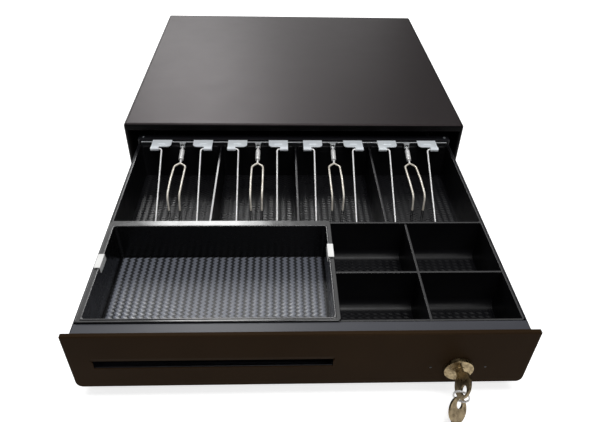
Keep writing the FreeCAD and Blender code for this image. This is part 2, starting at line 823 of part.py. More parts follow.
def bracket(wire_x, side):
    """One zinc bracket: a tab on the rail whose outer arm rolls into a sleeve for a wire."""
    top = bracket_z
    outer_x = wire_x + side * (bracket_arm + wire_bend + 0.5)
    inner_x = outer_x - side * bracket_width
    step_x = outer_x - side * bracket_arm
    low, high = sorted((outer_x, inner_x))
    front = rail_front_y - bracket_depth
    tab = block(low, high, front, till_back_y, top - bracket_thick, top)
    corner = [e for e in tab.Edges if all(near(v.X, inner_x) and near(v.Y, front)
                                          for v in e.Vertexes)]
    tab = tab.makeFillet(bracket_corner, corner)
    a, b = sorted((outer_x, step_x))
    arm = block(a, b, sleeve_y, front + 1, top - bracket_thick, top)
    middle = (inner_x + outer_x) / 2
    dimple_y = (front + rail_front_y) / 2 + 1
    dimple = block(middle - dimple_length / 2, middle + dimple_length / 2, dimple_y - 1.5,
                   dimple_y + 1.5, top - 0.2, top + dimple_rise)
    dimple = dimple.makeChamfer(dimple_rise, edges_where(dimple, lambda p: p.z > top))
    sleeve = along_x(sleeve_ring(wire_radius + wire_fit + sleeve_wall), a, b)
    bore = along_x(sleeve_ring(wire_radius + wire_fit), a - 1, b + 1)
    return joined([tab, arm, dimple, sleeve]).cut(bore)


def sleeve_ring(radius):
    """Eight-sided outline in Y and Z round the sleeve's axis, with flats at a radius."""
    reach = radius / math.cos(math.pi / 8)
    angles = [math.pi / 4 * (n + 0.5) for n in range(8)]
    return [(sleeve_y + reach * math.cos(a), sleeve_z + reach * math.sin(a)) for a in angles]


def wire_places():
    """The X of each bill wire and the side of its bracket's outer end."""
    return [(c + s * wire_spread, s) for c in clip_centres for s in (-1, 1)]


def bill_brackets():
    """Eight brackets, mirrored in pairs about each note bay."""
    return group([bracket(x, side) for x, side in wire_places()])


def bill_wire(x, side):
    """A straight wire that turns in its sleeve and lies down to the floor of the bay."""
    drop = sleeve_z - pocket_floor_z - wire_radius - wire_floor_gap
    run = drop / math.tan(math.radians(wire_slope))
    outer = x + side * (wire_bend + 0.5 + bracket_arm - 0.5)
    points = [(outer, sleeve_y, sleeve_z), (x, sleeve_y, sleeve_z),
              (x, sleeve_y - run, sleeve_z - drop)]
    return swept_wire(points, wire_radius, [wire_bend])


def clip_frame(centre):
    """Start, direction and far end of a clip's stem."""
    slope = math.radians(clip_stem_slope)
    away = Vector(0, -math.cos(slope), -math.sin(slope))
    hinge = Vector(centre, clip_pin_y, clip_pin_z)
    return hinge, away, hinge + away * clip_stem_length


def prong_points(centre, side):
    """The route of one prong: out from the stem, level over the notes, then down to them."""
    apex = clip_frame(centre)[2]
    foot_z = pocket_floor_z + tip_clear + tip_wall
    shoulder = Vector(centre + side * clip_spread, apex.y - 6, apex.z - 0.6)
    knee = Vector(centre + side * (clip_spread + 0.4), apex.y - 6 - prong_length, apex.z - 1.5)
    foot = Vector(centre + side * (clip_spread - 0.6), knee.y - 6.5, foot_z)
    return [tuple(p) for p in (apex, shoulder, knee, foot)]


def clip_fork(centre):
    """Eye, stem and two prongs of one bill clip."""
    hinge, away, apex = clip_frame(centre)
    half = clip_eye_width / 2
    r = clip_eye_radius
    eye = block(centre - half, centre + half, hinge.y - r, hinge.y + r, hinge.z - r, hinge.z + r)
    pieces = [eye, straight_wire(hinge, apex + away, clip_stem_radius)]
    low, high = clip_spring_seats()
    for start in (low - clip_collar_thick, high):
        at = hinge + away * start
        pieces.append(straight_wire(at, at + away * clip_collar_thick, clip_collar_radius))
    for side in (-1, 1):
        pieces.append(prong(centre, side))
    bore = round_bar((centre - half - 1, hinge.y, hinge.z), (1, 0, 0),
                     clip_pin_radius + clip_pin_fit, clip_eye_width + 2)
    return joined(pieces).cut(bore)


def prong(centre, side):
    """One prong, out from the stem, over the notes and down to its tip."""
    return swept_wire(prong_points(centre, side), prong_radius, [prong_shoulder, prong_bend])


def clip_tips(centre):
    """Soft sleeves on the two prong ends."""
    sleeves = []
    for side in (-1, 1):
        knee, foot = [Vector(*p) for p in prong_points(centre, side)[2:]]
        up = (knee - foot).normalize()
        outer = straight_wire(foot - up * tip_wall, foot + up * tip_length, prong_radius + tip_wall)
        sleeves.append(outer.cut(prong(centre, side)))
    return group(sleeves)


def clip_spring_seats():
    """How far along the stem the two collars face the spring."""
    rise = clip_spring_pitch / math.hypot(2 * math.pi * clip_spring_radius, clip_spring_pitch)
    spare = clip_spring_wire * (rise + math.sqrt(1 - rise ** 2) / 2)
    low = clip_eye_radius + clip_ear_reach + clip_collar_thick
    return low, low + clip_spring_pitch * clip_spring_turns + 2 * spare


def clip_spring(number, centre):
    """Coil round the clip's stem, between its collars."""
    hinge, away = clip_frame(centre)[:2]
    coil = coil_spring(f"bill_clip_{number}", clip_spring_radius, clip_spring_wire,
                       clip_spring_pitch, clip_spring_turns)
    low, high = clip_spring_seats()
    start = (low + high - clip_spring_pitch * clip_spring_turns) / 2
    return placed(coil, hinge + away * start, (1, 0, 0), away.cross(X_AXIS))


# Lift-out box

def box_outline():
    """Outer plan of the lift-out box's rim: left, right, front and back."""
    left = -till_half
    right = coin_wall_x + divider
    return left, right, till_front_y, cash_wall_y + divider * 0.5


def lift_out_box():
    """Loose-item box that hangs in the till's well by its rim."""
    left, right, front, back = box_outline()
    low = rim_z
    high = low + box_rim_thick
    x0, x1 = left + box_rim, right - box_rim
    y0, y1 = front + box_rim_front, back - box_rim_back
    floor_z = pocket_floor_z + box_floor_clear
    rim = block(left, right, front, back, low, high)
    uprights = [e for e in rim.Edges if near(e.Vertexes[0].X, e.Vertexes[1].X)
                and near(e.Vertexes[0].Y, e.Vertexes[1].Y)]
    rim = rim.makeFillet(box_rim_corner, uprights)
    rim = rim.makeChamfer(box_rim_round, edges_where(rim, lambda p: near(p.z, high)))
    bead = block(x0 - box_bead, x1 + box_bead, y0 - box_bead, y1 + box_bead, low, high + box_bead / 2)
    bead = bead.makeChamfer(box_bead / 3, edges_where(bead, lambda p: near(p.z, high + box_bead / 2)))
    body = block(x0 - box_wall, x1 + box_wall, y0 - box_wall, y1 + box_wall, floor_z, low + 1)
    uprights = [e for e in body.Edges if near(e.Vertexes[0].X, e.Vertexes[1].X)
                and near(e.Vertexes[0].Y, e.Vertexes[1].Y)]
    body = body.makeFillet(pocket_corner + 1, uprights)
    hollow = pocket(x0, x1, y0, y1, floor_z + box_floor, high + box_bead, pocket_corner, 0)
    return joined([rim, bead, body]).cut(hollow)


def rim_tabs():
    """Two thin clips folded over the box's side rims."""
    left, right, front, back = box_outline()
    top = rim_z + box_rim_thick + box_bead / 2
    depth = back - front
    tabs = []
    for outer, inner, share in ((left, left + box_rim, 0.48), (right, right - box_rim, 0.58)):
        s = 1 if inner > outer else -1
        y = front + depth * share
        fold = [(outer + s * 0.2, top), (outer + s * 0.2, top + tab_thick),
                (inner + s * (0.1 + tab_thick), top + tab_thick),
                (inner + s * (0.45 + tab_thick), top - tab_reach),
                (inner + s * 0.45, top - tab_reach), (inner + s * 0.1, top)]
        tabs.append(along_y(fold, y, y + tab_length))
    return group(tabs)


# Lock and keys

def lock_barrel():
    """Lock body with its round face plate."""
    face = Part.makeCylinder(lock_face_radius, lock_face_depth,
                             Vector(lock_x, panel_y - lock_face_depth, lock_z), Y_AXIS)
    body = Part.makeCylinder(lock_body_radius, lock_body_length, Vector(lock_x, panel_y, lock_z),
                             Y_AXIS)
    bore = round_bar((lock_x, panel_y - lock_face_depth - 1, lock_z), (0, 1, 0),
                     plug_radius + plug_fit, lock_face_depth + lock_body_length + 2)
    return joined([face, body]).cut(bore)


def lock_nut():
    """Hexagonal nut that clamps the lock to the drawer's front."""
    y = drawer_front_y + drawer_sheet
    r = lock_nut_across / math.sqrt(3)
    corners = [(lock_x + r * math.cos(math.radians(60 * n)), y,
                lock_z + r * math.sin(math.radians(60 * n))) for n in range(6)]
    nut = extruded(corners, (0, lock_nut_thick, 0))
    bore = round_bar((lock_x, y - 1, lock_z), (0, 1, 0), lock_body_radius + 0.05,
                     lock_nut_thick + 2)
    return nut.cut(bore)


def turned(shape, degrees):
    """A shape turned about the lock's axis."""
    moved = shape.copy()
    moved.rotate(Vector(lock_x, 0, lock_z), Y_AXIS, degrees)
    return moved


def lock_plug():
    """Turning core with its keyway and square tail."""
    front = panel_y - lock_face_depth - plug_proud
    back = panel_y + lock_body_length + plug_proud
    plug = Part.makeCylinder(plug_radius, back - front, Vector(lock_x, front, lock_z), Y_AXIS)
    half = plug_tail
    tail = block(lock_x - half, lock_x + half, back - 1, back + cam_thick, lock_z - half,
                 lock_z + half)
    stud = round_bar((lock_x, back, lock_z), (0, 1, 0), plug_tail * 0.8, cam_thick + 1.5)
    keyway = block(lock_x - key_thick / 2 - key_slack, lock_x + key_thick / 2 + key_slack,
                   front - 1, front + key_blade + panel_seat + key_slack,
                   lock_z - key_blade_height / 2 - key_slack,
                   lock_z + key_blade_height / 2 + key_slack)
    return joined([plug, tail, stud]).cut(turned(keyway, keyway_turn))


def lock_cam():
    """Flat arm on the plug's tail that swings down through the drawer's floor."""
    y = panel_y + lock_body_length + plug_proud
    half = cam_width / 2
    arm = block(lock_x, lock_x + cam_reach - half, y, y + cam_thick, lock_z - half, lock_z + half)
    tip = round_bar((lock_x + cam_reach - half, y, lock_z), (0, 1, 0), half, cam_thick)
    hub = round_bar((lock_x, y, lock_z), (0, 1, 0), half * 1.5, cam_thick)
    side = plug_tail + 0.02
    hole = block(lock_x - side, lock_x + side, y - 1, y + cam_thick + 1, lock_z - side,
                 lock_z + side)
    return joined([arm, tip, hub]).cut(hole)


def key_blank():
    """A key in its own frame: hole centre at the origin, blade along X, thickness about Z."""
    half = key_thick / 2
    bow_x = key_hole_offset
    bow = Part.makeCylinder(key_bow_radius, key_thick, Vector(bow_x, 0, -half))
    shoulder_x = bow_x + key_bow_radius - 1.0 + key_neck
    tip_x = shoulder_x + key_blade
    h = key_blade_height / 2
    notch = key_blade / 8
    outline = [(bow_x, -h, -half), (tip_x - 2, -h, -half), (tip_x, -h + 2, -half),
               (tip_x, h - 3, -half)]
    for n, cut in enumerate((1.4, 2.2, 1.0, 2.4, 1.6)):
        x = tip_x - 1.2 - (2 * n) * notch * 0.7
        outline += [(x, h - 0.2, -half), (x - notch * 0.7, h - cut, -half)]
    outline += [(shoulder_x, h, -half), (shoulder_x, h + 1.5, -half), (bow_x, h + 1.5, -half)]
    blade = extruded(outline, (0, 0, key_thick))
    hole = Part.makeCylinder(key_hole_radius, 2 * key_thick, Vector(0, 0, -key_thick))
    return joined([bow, blade]).cut(hole)


def key_hole_point():
    """Centre of the hole in the bow of the key that is in the lock."""
    return Vector(lock_x, panel_y - key_hole_reach, lock_z)


def key():
    """The key in the lock, its flat side turned with the keyway."""
    blank = placed(key_blank(), key_hole_point(), (0, 1, 0), (0, 0, 1))
    return turned(blank, keyway_turn)


def ring_top():
    """Centre of the ring's wire where it hangs in the first key's hole."""
    hole = key_hole_point()
    reach = key_hole_radius - ring_wire - ring_slack
    lean = math.radians(keyway_turn)
    return hole - Vector(math.sin(lean), 0, math.cos(lean)) * reach


def key_ring():
    """Split ring of square wire through both keys, turned a little to the front."""
    centre = ring_top() - Z_AXIS * ring_radius
    start = centre + X_AXIS * ring_radius
    w = ring_wire
    corners = [(start.x - w, -w), (start.x + w, -w), (start.x + w, w), (start.x - w, w)]
    outline = [Vector(x, start.y + y, start.z) for x, y in corners]
    ring = Part.Face(Part.makePolygon(outline + [outline[0]])).revolve(centre, Y_AXIS, 360)
    ring.rotate(centre, Z_AXIS, -ring_turn)
    return ring


def spare_key():
    """Second key, hanging from the ring with its tip leaning on the counter."""
    away = Vector(*spare_direction).normalize()
    low = ring_top() - Z_AXIS * (2 * ring_radius)
    hole = low + away * (key_hole_radius - ring_wire - ring_slack)
    normal = Vector(*spare_normal)
    return placed(key_blank(), hole, away, normal.cross(away))


# Latch, solenoid, ejector and switch

def latch_pivot():
    """Y and Z of the latch lever's pin."""
    return back_y - latch_pivot_back, latch_pivot_z


def latch_base():
    """Plate on the pan's floor with two ears for the latch pin and a post for the solenoid."""
    y, z = latch_pivot()
    t = latch_plate_thick
    low = foot_height + sheet
    plate = block(latch_x - latch_plate_half, latch_x + latch_plate_half, y - latch_plate_front,
                  back_y - sheet - 0.3, low, low + t)
    ears = []
    for s in (-1, 1):
        inner = latch_x + s * (latch_thick / 2 + latch_ear_gap)
        a, b = sorted((inner, inner + s * t))
        ears.append(along_x([(y - 5, low), (y + 5, low), (y + 3, z + 4), (y - 3, z + 4)], a, b))
    stand = []
    for s in (-1, 1):
        inner = latch_x + s * solenoid_width / 2
        a, b = sorted((inner, inner + s * t))
        stand.append(block(a, b, back_y - sheet - 24.5, back_y - sheet - 0.5, low,
                           solenoid_base_z + solenoid_height * 0.6))
    hole = round_bar((latch_x - latch_plate_half, y, z), (1, 0, 0), latch_pin_radius,
                     2 * latch_plate_half)
    return joined([plate] + ears + stand).cut(hole)


def latch_pin():
    """Pin that the latch lever turns on."""
    y, z = latch_pivot()
    reach = latch_thick / 2 + latch_ear_gap + latch_plate_thick + 0.8
    return round_bar((latch_x - reach, y, z), (1, 0, 0), latch_pin_radius, 2 * reach)


def latch_lever():
    """Hooked lever: a nose that stops the striker's pin and a forked tail for the plunger."""
    y, z = latch_pivot()
    pin_y = drawer_back_y + drawer_travel + striker_reach - 4
    nose_y = pin_y - striker_pin_radius - latch_gap
    top = striker_pin_z + 3
    under = striker_pin_z - striker_pin_radius - latch_gap
    d = latch_nose_depth
    outline = [(nose_y, under), (nose_y, top), (nose_y - 1, top), (nose_y - d, under - 2),
               (nose_y - d, under - 4), (y - 6, z - 4), (y, z - 5), (y + latch_tail - 3, z - 2),
               (y + latch_tail + 2, z - 1), (y + latch_tail + 2, z + 1), (y + latch_tail - 3, z + 2),
               (y + 2, z + 5), (y - 5, z + 5), (nose_y + 6, under - 0.6)]
    lever = along_x(outline, latch_x - latch_thick / 2, latch_x + latch_thick / 2)
    eye = round_bar((latch_x - latch_thick / 2, y, z), (1, 0, 0), 4.5, latch_thick)
    fork = along_x([(y + latch_tail - 5, z - 2), (y + latch_tail + 2, z - 1),
                    (y + latch_tail + 2, z + 1), (y + latch_tail - 5, z + 2)],
                   latch_x - 6, latch_x + 6)
    gap = block(latch_x - plunger_neck - 0.5, latch_x + plunger_neck + 0.5,
                y + latch_tail - plunger_neck - 1.0, y + latch_tail + 4, z - 5, z + 5)
    hole = round_bar((latch_x - 10, y, z), (1, 0, 0), latch_pin_radius + latch_pin_fit, 20)
    return joined([lever, eye, fork]).cut(gap).cut(hole)


def solenoid_axis():
    """Y of the solenoid's axis, over the latch lever's tail."""
    return latch_pivot()[0] + latch_tail


def solenoid_frame():
    """U-shaped iron yoke round the coil."""
    y = solenoid_axis()
    t = solenoid_sheet
    half = solenoid_width / 2
    z0, z1 = solenoid_base_z, solenoid_base_z + solenoid_height
    outline = [(-half, z0), (half, z0), (half, z1), (-half, z1)]
    outer = along_y(outline, y - 9, y + 9)
    inner = block(-half + t, half - t, y - 10, y + 10, z0 + t, z1 - t)
    bore = round_bar((latch_x, y, z0 - 1), (0, 0, 1), plunger_radius + plunger_fit, t + 2)
    return outer.cut(inner).cut(bore)


def solenoid_coil():
    """Wound coil between the yoke's ends."""
    base = (latch_x, solenoid_axis(), solenoid_base_z + solenoid_sheet)
    height = solenoid_height - 2 * solenoid_sheet
    coil = round_bar(base, (0, 0, 1), coil_radius, height)
    return coil.cut(round_bar(base, (0, 0, 1), plunger_radius + plunger_fit, height))


def plunger_levels():
    """Heights of the plunger's foot, neck and body."""
    z = latch_pivot_z
    foot_top = z - 3.2
    neck_top = z + 4.5
    return foot_top - plunger_foot, foot_top, neck_top


def solenoid_plunger():
    """Iron plunger with a neck and foot that lift the latch lever's tail."""
    y = solenoid_axis()
    foot_z, foot_top, neck_top = plunger_levels()
    top = solenoid_base_z + solenoid_height * 0.7
    r = plunger_radius - 0.5
    foot = block(latch_x - r, latch_x + r, y - r, y + r, foot_z, foot_top)
    neck = round_bar((latch_x, y, foot_z), (0, 0, 1), plunger_neck, neck_top - foot_z + 1)
    body = round_bar((latch_x, y, neck_top), (0, 0, 1), plunger_radius, top - neck_top)
    return joined([foot, neck, body])


def ejector_spring():
    """Leaf spring that kicks the drawer out, drawn as the closed drawer presses it."""
    y = drawer_back_y + drawer_travel + ejector_clear
    low = foot_height + sheet
    outline = [(y + ejector_foot, low), (y + 5, low), (y + 2, low + 3), (y, low + 10),
               (y, low + ejector_height), (y + 4, low + ejector_height + 6)]
    return along_x(bent_strip(outline, -ejector_thick), ejector_x - ejector_width / 2,
                   ejector_x + ejector_width / 2)


def switch_point():
    """Y and Z of the sensing switch's button top, under the lever's lower edge."""
    y, z = latch_pivot()
    return y - switch_offset, z - 4 + (switch_offset - 6) * 0.2


def sense_switch():
    """Small switch beside the latch lever, worked by the lever's arm."""
    y, top = switch_point()
    low = foot_height + sheet + latch_plate_thick
    body = block(latch_x - switch_width / 2, latch_x + switch_width / 2,
                 y - switch_length * 0.35, y + switch_length * 0.1, low, top - 2.4)
    r = switch_button_half + 0.1
    well = block(latch_x - r, latch_x + r, y - r, y + r, low + 0.4, top)
    legs = [block(latch_x - 0.4 + n, latch_x + 0.4 + n, y - switch_length * 0.35 - 3,
                  y - switch_length * 0.35 + 0.5, low + 1.2, low + 1.8) for n in (-2, 0, 2)]
    return joined([body] + legs).cut(well)


def switch_button():
    """Button of the sensing switch."""
    y, top = switch_point()
    low = foot_height + sheet + latch_plate_thick + 2.6
    r = switch_button_half
    return block(latch_x - r, latch_x + r, y - r, y + r, low, top)


def main():
    """Build every piece and write one STEP file for each."""
    inner, middle, outer = slide_members()
    pieces = {
        "housing_cover": housing_cover(),
        "base_pan": base_pan(),
        "front_crossbar": front_crossbar(),
        "rubber_feet": rubber_feet(),
        "cable_socket": cable_socket(),
        "slide_outer_right": outer,
        "slide_outer_left": mirrored(outer),
        "slide_middle_right": middle,
        "slide_middle_left": mirrored(middle),
        "slide_inner_right": inner,
        "slide_inner_left": mirrored(inner),
        "drawer_body": drawer_body(),
        "front_panel": front_panel(),
        "media_chute": media_chute(),
        "striker": striker(),
        "till_tray": till_tray(),
        "clip_rail": clip_rail(),
        "bill_brackets": bill_brackets(),
        "lift_out_box": lift_out_box(),
        "rim_tabs": rim_tabs(),
        "lock_barrel": lock_barrel(),
        "lock_nut": lock_nut(),
        "lock_plug": lock_plug(),
        "lock_cam": lock_cam(),
        "key": key(),
        "key_ring": key_ring(),
        "spare_key": spare_key(),
        "latch_base": latch_base(),
        "latch_pin": latch_pin(),
        "latch_lever": latch_lever(),
        "solenoid_frame": solenoid_frame(),
        "solenoid_coil": solenoid_coil(),
        "solenoid_plunger": solenoid_plunger(),
        "ejector_spring": ejector_spring(),
        "sense_switch": sense_switch(),
        "switch_button": switch_button(),
    }
    for number, (x, side) in enumerate(wire_places(), 1):
        pieces[f"bill_wire_{number}"] = bill_wire(x, side)
    for number, centre in enumerate(clip_centres, 1):
        pieces[f"bill_clip_{number}"] = group([clip_fork(centre), clip_spring(number, centre)])
        pieces[f"clip_tips_{number}"] = clip_tips(centre)
    os.makedirs("parts", exist_ok=True)
    for name, shape in pieces.items():
        if not shape.isValid():
            print(f"{name} is not a valid shape")
        shape.exportStep(f"parts/{name}.step")
    print(f"{len(pieces)} pieces")


main()
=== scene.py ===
import json
import math

import bmesh
import bpy
from mathutils import Matrix, Vector


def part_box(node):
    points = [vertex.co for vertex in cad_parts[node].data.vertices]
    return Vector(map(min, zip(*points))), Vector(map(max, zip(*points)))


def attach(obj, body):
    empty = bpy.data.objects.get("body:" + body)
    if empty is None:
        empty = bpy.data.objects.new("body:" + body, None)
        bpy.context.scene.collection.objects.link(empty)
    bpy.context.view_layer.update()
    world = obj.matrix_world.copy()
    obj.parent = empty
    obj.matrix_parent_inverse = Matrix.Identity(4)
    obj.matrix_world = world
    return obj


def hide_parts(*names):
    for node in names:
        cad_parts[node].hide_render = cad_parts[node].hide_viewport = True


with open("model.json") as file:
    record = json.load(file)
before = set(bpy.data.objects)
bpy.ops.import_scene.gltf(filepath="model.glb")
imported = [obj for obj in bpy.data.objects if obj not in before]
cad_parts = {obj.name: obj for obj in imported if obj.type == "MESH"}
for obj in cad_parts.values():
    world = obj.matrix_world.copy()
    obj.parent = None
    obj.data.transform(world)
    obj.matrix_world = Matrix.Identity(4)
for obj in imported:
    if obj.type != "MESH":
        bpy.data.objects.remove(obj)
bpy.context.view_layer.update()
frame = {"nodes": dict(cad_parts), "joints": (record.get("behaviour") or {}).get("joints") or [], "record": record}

nodes = frame["nodes"]

MM = 0.001

# The photograph's camera, as found from the part's edges in it
IMAGE_WIDTH_PX = 600
FOCAL_LENGTH_PX = 559
SENSOR_WIDTH = 36.0  # millimetres
CAMERA_PITCH = math.radians(38.68)
CAMERA_YAW = math.radians(2.75)
CAMERA_ROLL = math.radians(1.64)
CAMERA_LEFT = 20 * MM  # from the part's middle
CAMERA_AHEAD = 587 * MM  # from the housing's front face
CAMERA_RISE = 338 * MM  # from the housing's top

# The moulded floors and the zigzag ridges on them
FLOOR_THICKNESS = 2 * MM
TEXTURE_GAP = 0.03 * MM  # above the floor
RIDGE_WIDTH = 7.2 * MM  # of a ridge and the valley beside it
RIDGE_STEP = 2.25 * MM  # from one bend of the zigzag to the next
RIDGE_RISE = 0.42 * MM

# Places read from the frame, in metres
cover_low, cover_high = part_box("housing_cover")
panel_low, panel_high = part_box("front_panel")
till_low, till_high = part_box("till_tray")
box_low, box_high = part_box("lift_out_box")
lock_low, lock_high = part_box("lock_barrel")
face_y = cover_low.y
top_z = cover_high.z
till_texture_z = till_low.z + FLOOR_THICKNESS + TEXTURE_GAP
box_texture_z = box_low.z + FLOOR_THICKNESS + TEXTURE_GAP


# Camera

def add_camera():
    """The photograph's viewpoint."""
    forward = Vector((math.sin(CAMERA_YAW) * math.cos(CAMERA_PITCH),
                      math.cos(CAMERA_YAW) * math.cos(CAMERA_PITCH),
                      -math.sin(CAMERA_PITCH)))
    level = Vector((math.cos(CAMERA_YAW), -math.sin(CAMERA_YAW), 0))
    up = level.cross(forward)
    right = level * math.cos(CAMERA_ROLL) + up * math.sin(CAMERA_ROLL)
    upright = up * math.cos(CAMERA_ROLL) - level * math.sin(CAMERA_ROLL)
    data = bpy.data.cameras.new("camera")
    data.sensor_width = SENSOR_WIDTH
    data.lens = SENSOR_WIDTH * FOCAL_LENGTH_PX / IMAGE_WIDTH_PX
    data.clip_start = 10 * MM
    camera = bpy.data.objects.new("camera", data)
    place = Matrix((right, upright, -forward)).transposed().to_4x4()
    place.translation = Vector((-CAMERA_LEFT, face_y - CAMERA_AHEAD, top_z + CAMERA_RISE))
    camera.matrix_world = place
    bpy.context.scene.collection.objects.link(camera)
    bpy.context.scene.camera = camera


# Lamps, world and floor

def add_lamp(name, place, target, width, height, watts):
    """A white softbox at one place, aimed at another."""
    data = bpy.data.lights.new(name, "AREA")
    data.shape = "RECTANGLE"
    data.size = width
    data.size_y = height
    data.energy = watts
    lamp = bpy.data.objects.new(name, data)
    place, target = Vector(place), Vector(target)
    aim = (target - place).to_track_quat("-Z", "Y").to_matrix().to_4x4()
    lamp.matrix_world = Matrix.Translation(place) @ aim
    bpy.context.scene.collection.objects.link(lamp)


def seen_directly(tree):
    """1 for camera, glossy and transmission rays, and 0 for the rest."""
    path = tree.nodes.new("ShaderNodeLightPath")
    total = None
    for name in ("Is Camera Ray", "Is Glossy Ray", "Is Transmission Ray"):
        socket = path.outputs[name]
        if total is None:
            total = socket
            continue
        add = tree.nodes.new("ShaderNodeMath")
        add.operation = "MAXIMUM"
        tree.links.new(total, add.inputs[0])
        tree.links.new(socket, add.inputs[1])
        total = add.outputs[0]
    return total


def light_world(ambient):
    """A white world to look at, which lights the object only with the ambient strength."""
    world = bpy.data.worlds.new("studio")
    world.use_nodes = True
    tree = world.node_tree
    tree.nodes.clear()
    plain = tree.nodes.new("ShaderNodeBackground")
    plain.inputs["Strength"].default_value = ambient
    white = tree.nodes.new("ShaderNodeBackground")
    white.inputs["Color"].default_value = (1, 1, 1, 1)
    white.inputs["Strength"].default_value = 1.0
    mix = tree.nodes.new("ShaderNodeMixShader")
    out = tree.nodes.new("ShaderNodeOutputWorld")
    tree.links.new(seen_directly(tree), mix.inputs[0])
    tree.links.new(plain.outputs[0], mix.inputs[1])
    tree.links.new(white.outputs[0], mix.inputs[2])
    tree.links.new(mix.outputs[0], out.inputs["Surface"])
    bpy.context.scene.world = world


def add_hood(name, start, end, top, radius=2.7):
    """A black studio flag, between two bearings and up to a height in degrees, hidden from the camera."""
    verts, faces = [], []
    columns, rows = 18, 6
    for r in range(rows + 1):
        rise = math.radians(1 + (top - 1) * r / rows)
        for c in range(columns + 1):
            turn = math.radians(start + (end - start) * c / columns)
            verts.append((radius * math.cos(rise) * math.sin(turn),
                          -radius * math.cos(rise) * math.cos(turn),
                          radius * math.sin(rise)))
    for r in range(rows):
        for c in range(columns):
            a = r * (columns + 1) + c
            faces.append((a, a + 1, a + columns + 2, a + columns + 1))
    mesh = bpy.data.meshes.new(name)
    mesh.from_pydata(verts, [], faces)
    hood = bpy.data.objects.new(name, mesh)
    hood.visible_camera = False
    bpy.context.scene.collection.objects.link(hood)
    material = bpy.data.materials.new(name + "_black")
    material.use_nodes = True
    shader = material.node_tree.nodes["Principled BSDF"]
    shader.inputs["Base Color"].default_value = (0.004, 0.004, 0.004, 1)
    shader.inputs["Roughness"].default_value = 1.0
    shader.inputs["Specular IOR Level"].default_value = 0.0
    mesh.materials.append(material)


def add_floor(size=16.0):
    """A pale floor that keeps the object's shadow and melts into the white world further out."""
    mesh = bpy.data.meshes.new("floor")
    s = size / 2
    mesh.from_pydata([(-s, -s, 0), (s, -s, 0), (s, s, 0), (-s, s, 0)], [], [(0, 1, 2, 3)])
    floor = bpy.data.objects.new("floor", mesh)
    bpy.context.scene.collection.objects.link(floor)
    material = bpy.data.materials.new("floor_white")
    material.use_nodes = True
    tree = material.node_tree
    tree.nodes.clear()
    matt = tree.nodes.new("ShaderNodeBsdfDiffuse")
    matt.inputs["Color"].default_value = (0.8, 0.8, 0.8, 1)
    glow = tree.nodes.new("ShaderNodeEmission")
    reach = tree.nodes.new("ShaderNodeVectorMath")
    reach.operation = "LENGTH"
    tree.links.new(tree.nodes.new("ShaderNodeTexCoord").outputs["Object"], reach.inputs[0])
    level = tree.nodes.new("ShaderNodeMapRange")
    level.inputs["From Min"].default_value = 0.8
    level.inputs["From Max"].default_value = 2.4
    level.inputs["To Min"].default_value = 0.72
    level.inputs["To Max"].default_value = 1.0
    tree.links.new(reach.outputs["Value"], level.inputs["Value"])
    share = tree.nodes.new("ShaderNodeMath")
    share.operation = "MULTIPLY"
    tree.links.new(seen_directly(tree), share.inputs[0])
    tree.links.new(level.outputs["Result"], share.inputs[1])
    tree.links.new(share.outputs[0], glow.inputs["Strength"])
    both = tree.nodes.new("ShaderNodeAddShader")
    out = tree.nodes.new("ShaderNodeOutputMaterial")
    tree.links.new(matt.outputs[0], both.inputs[0])
    tree.links.new(glow.outputs[0], both.inputs[1])
    tree.links.new(both.outputs[0], out.inputs["Surface"])
    mesh.materials.append(material)


# Materials

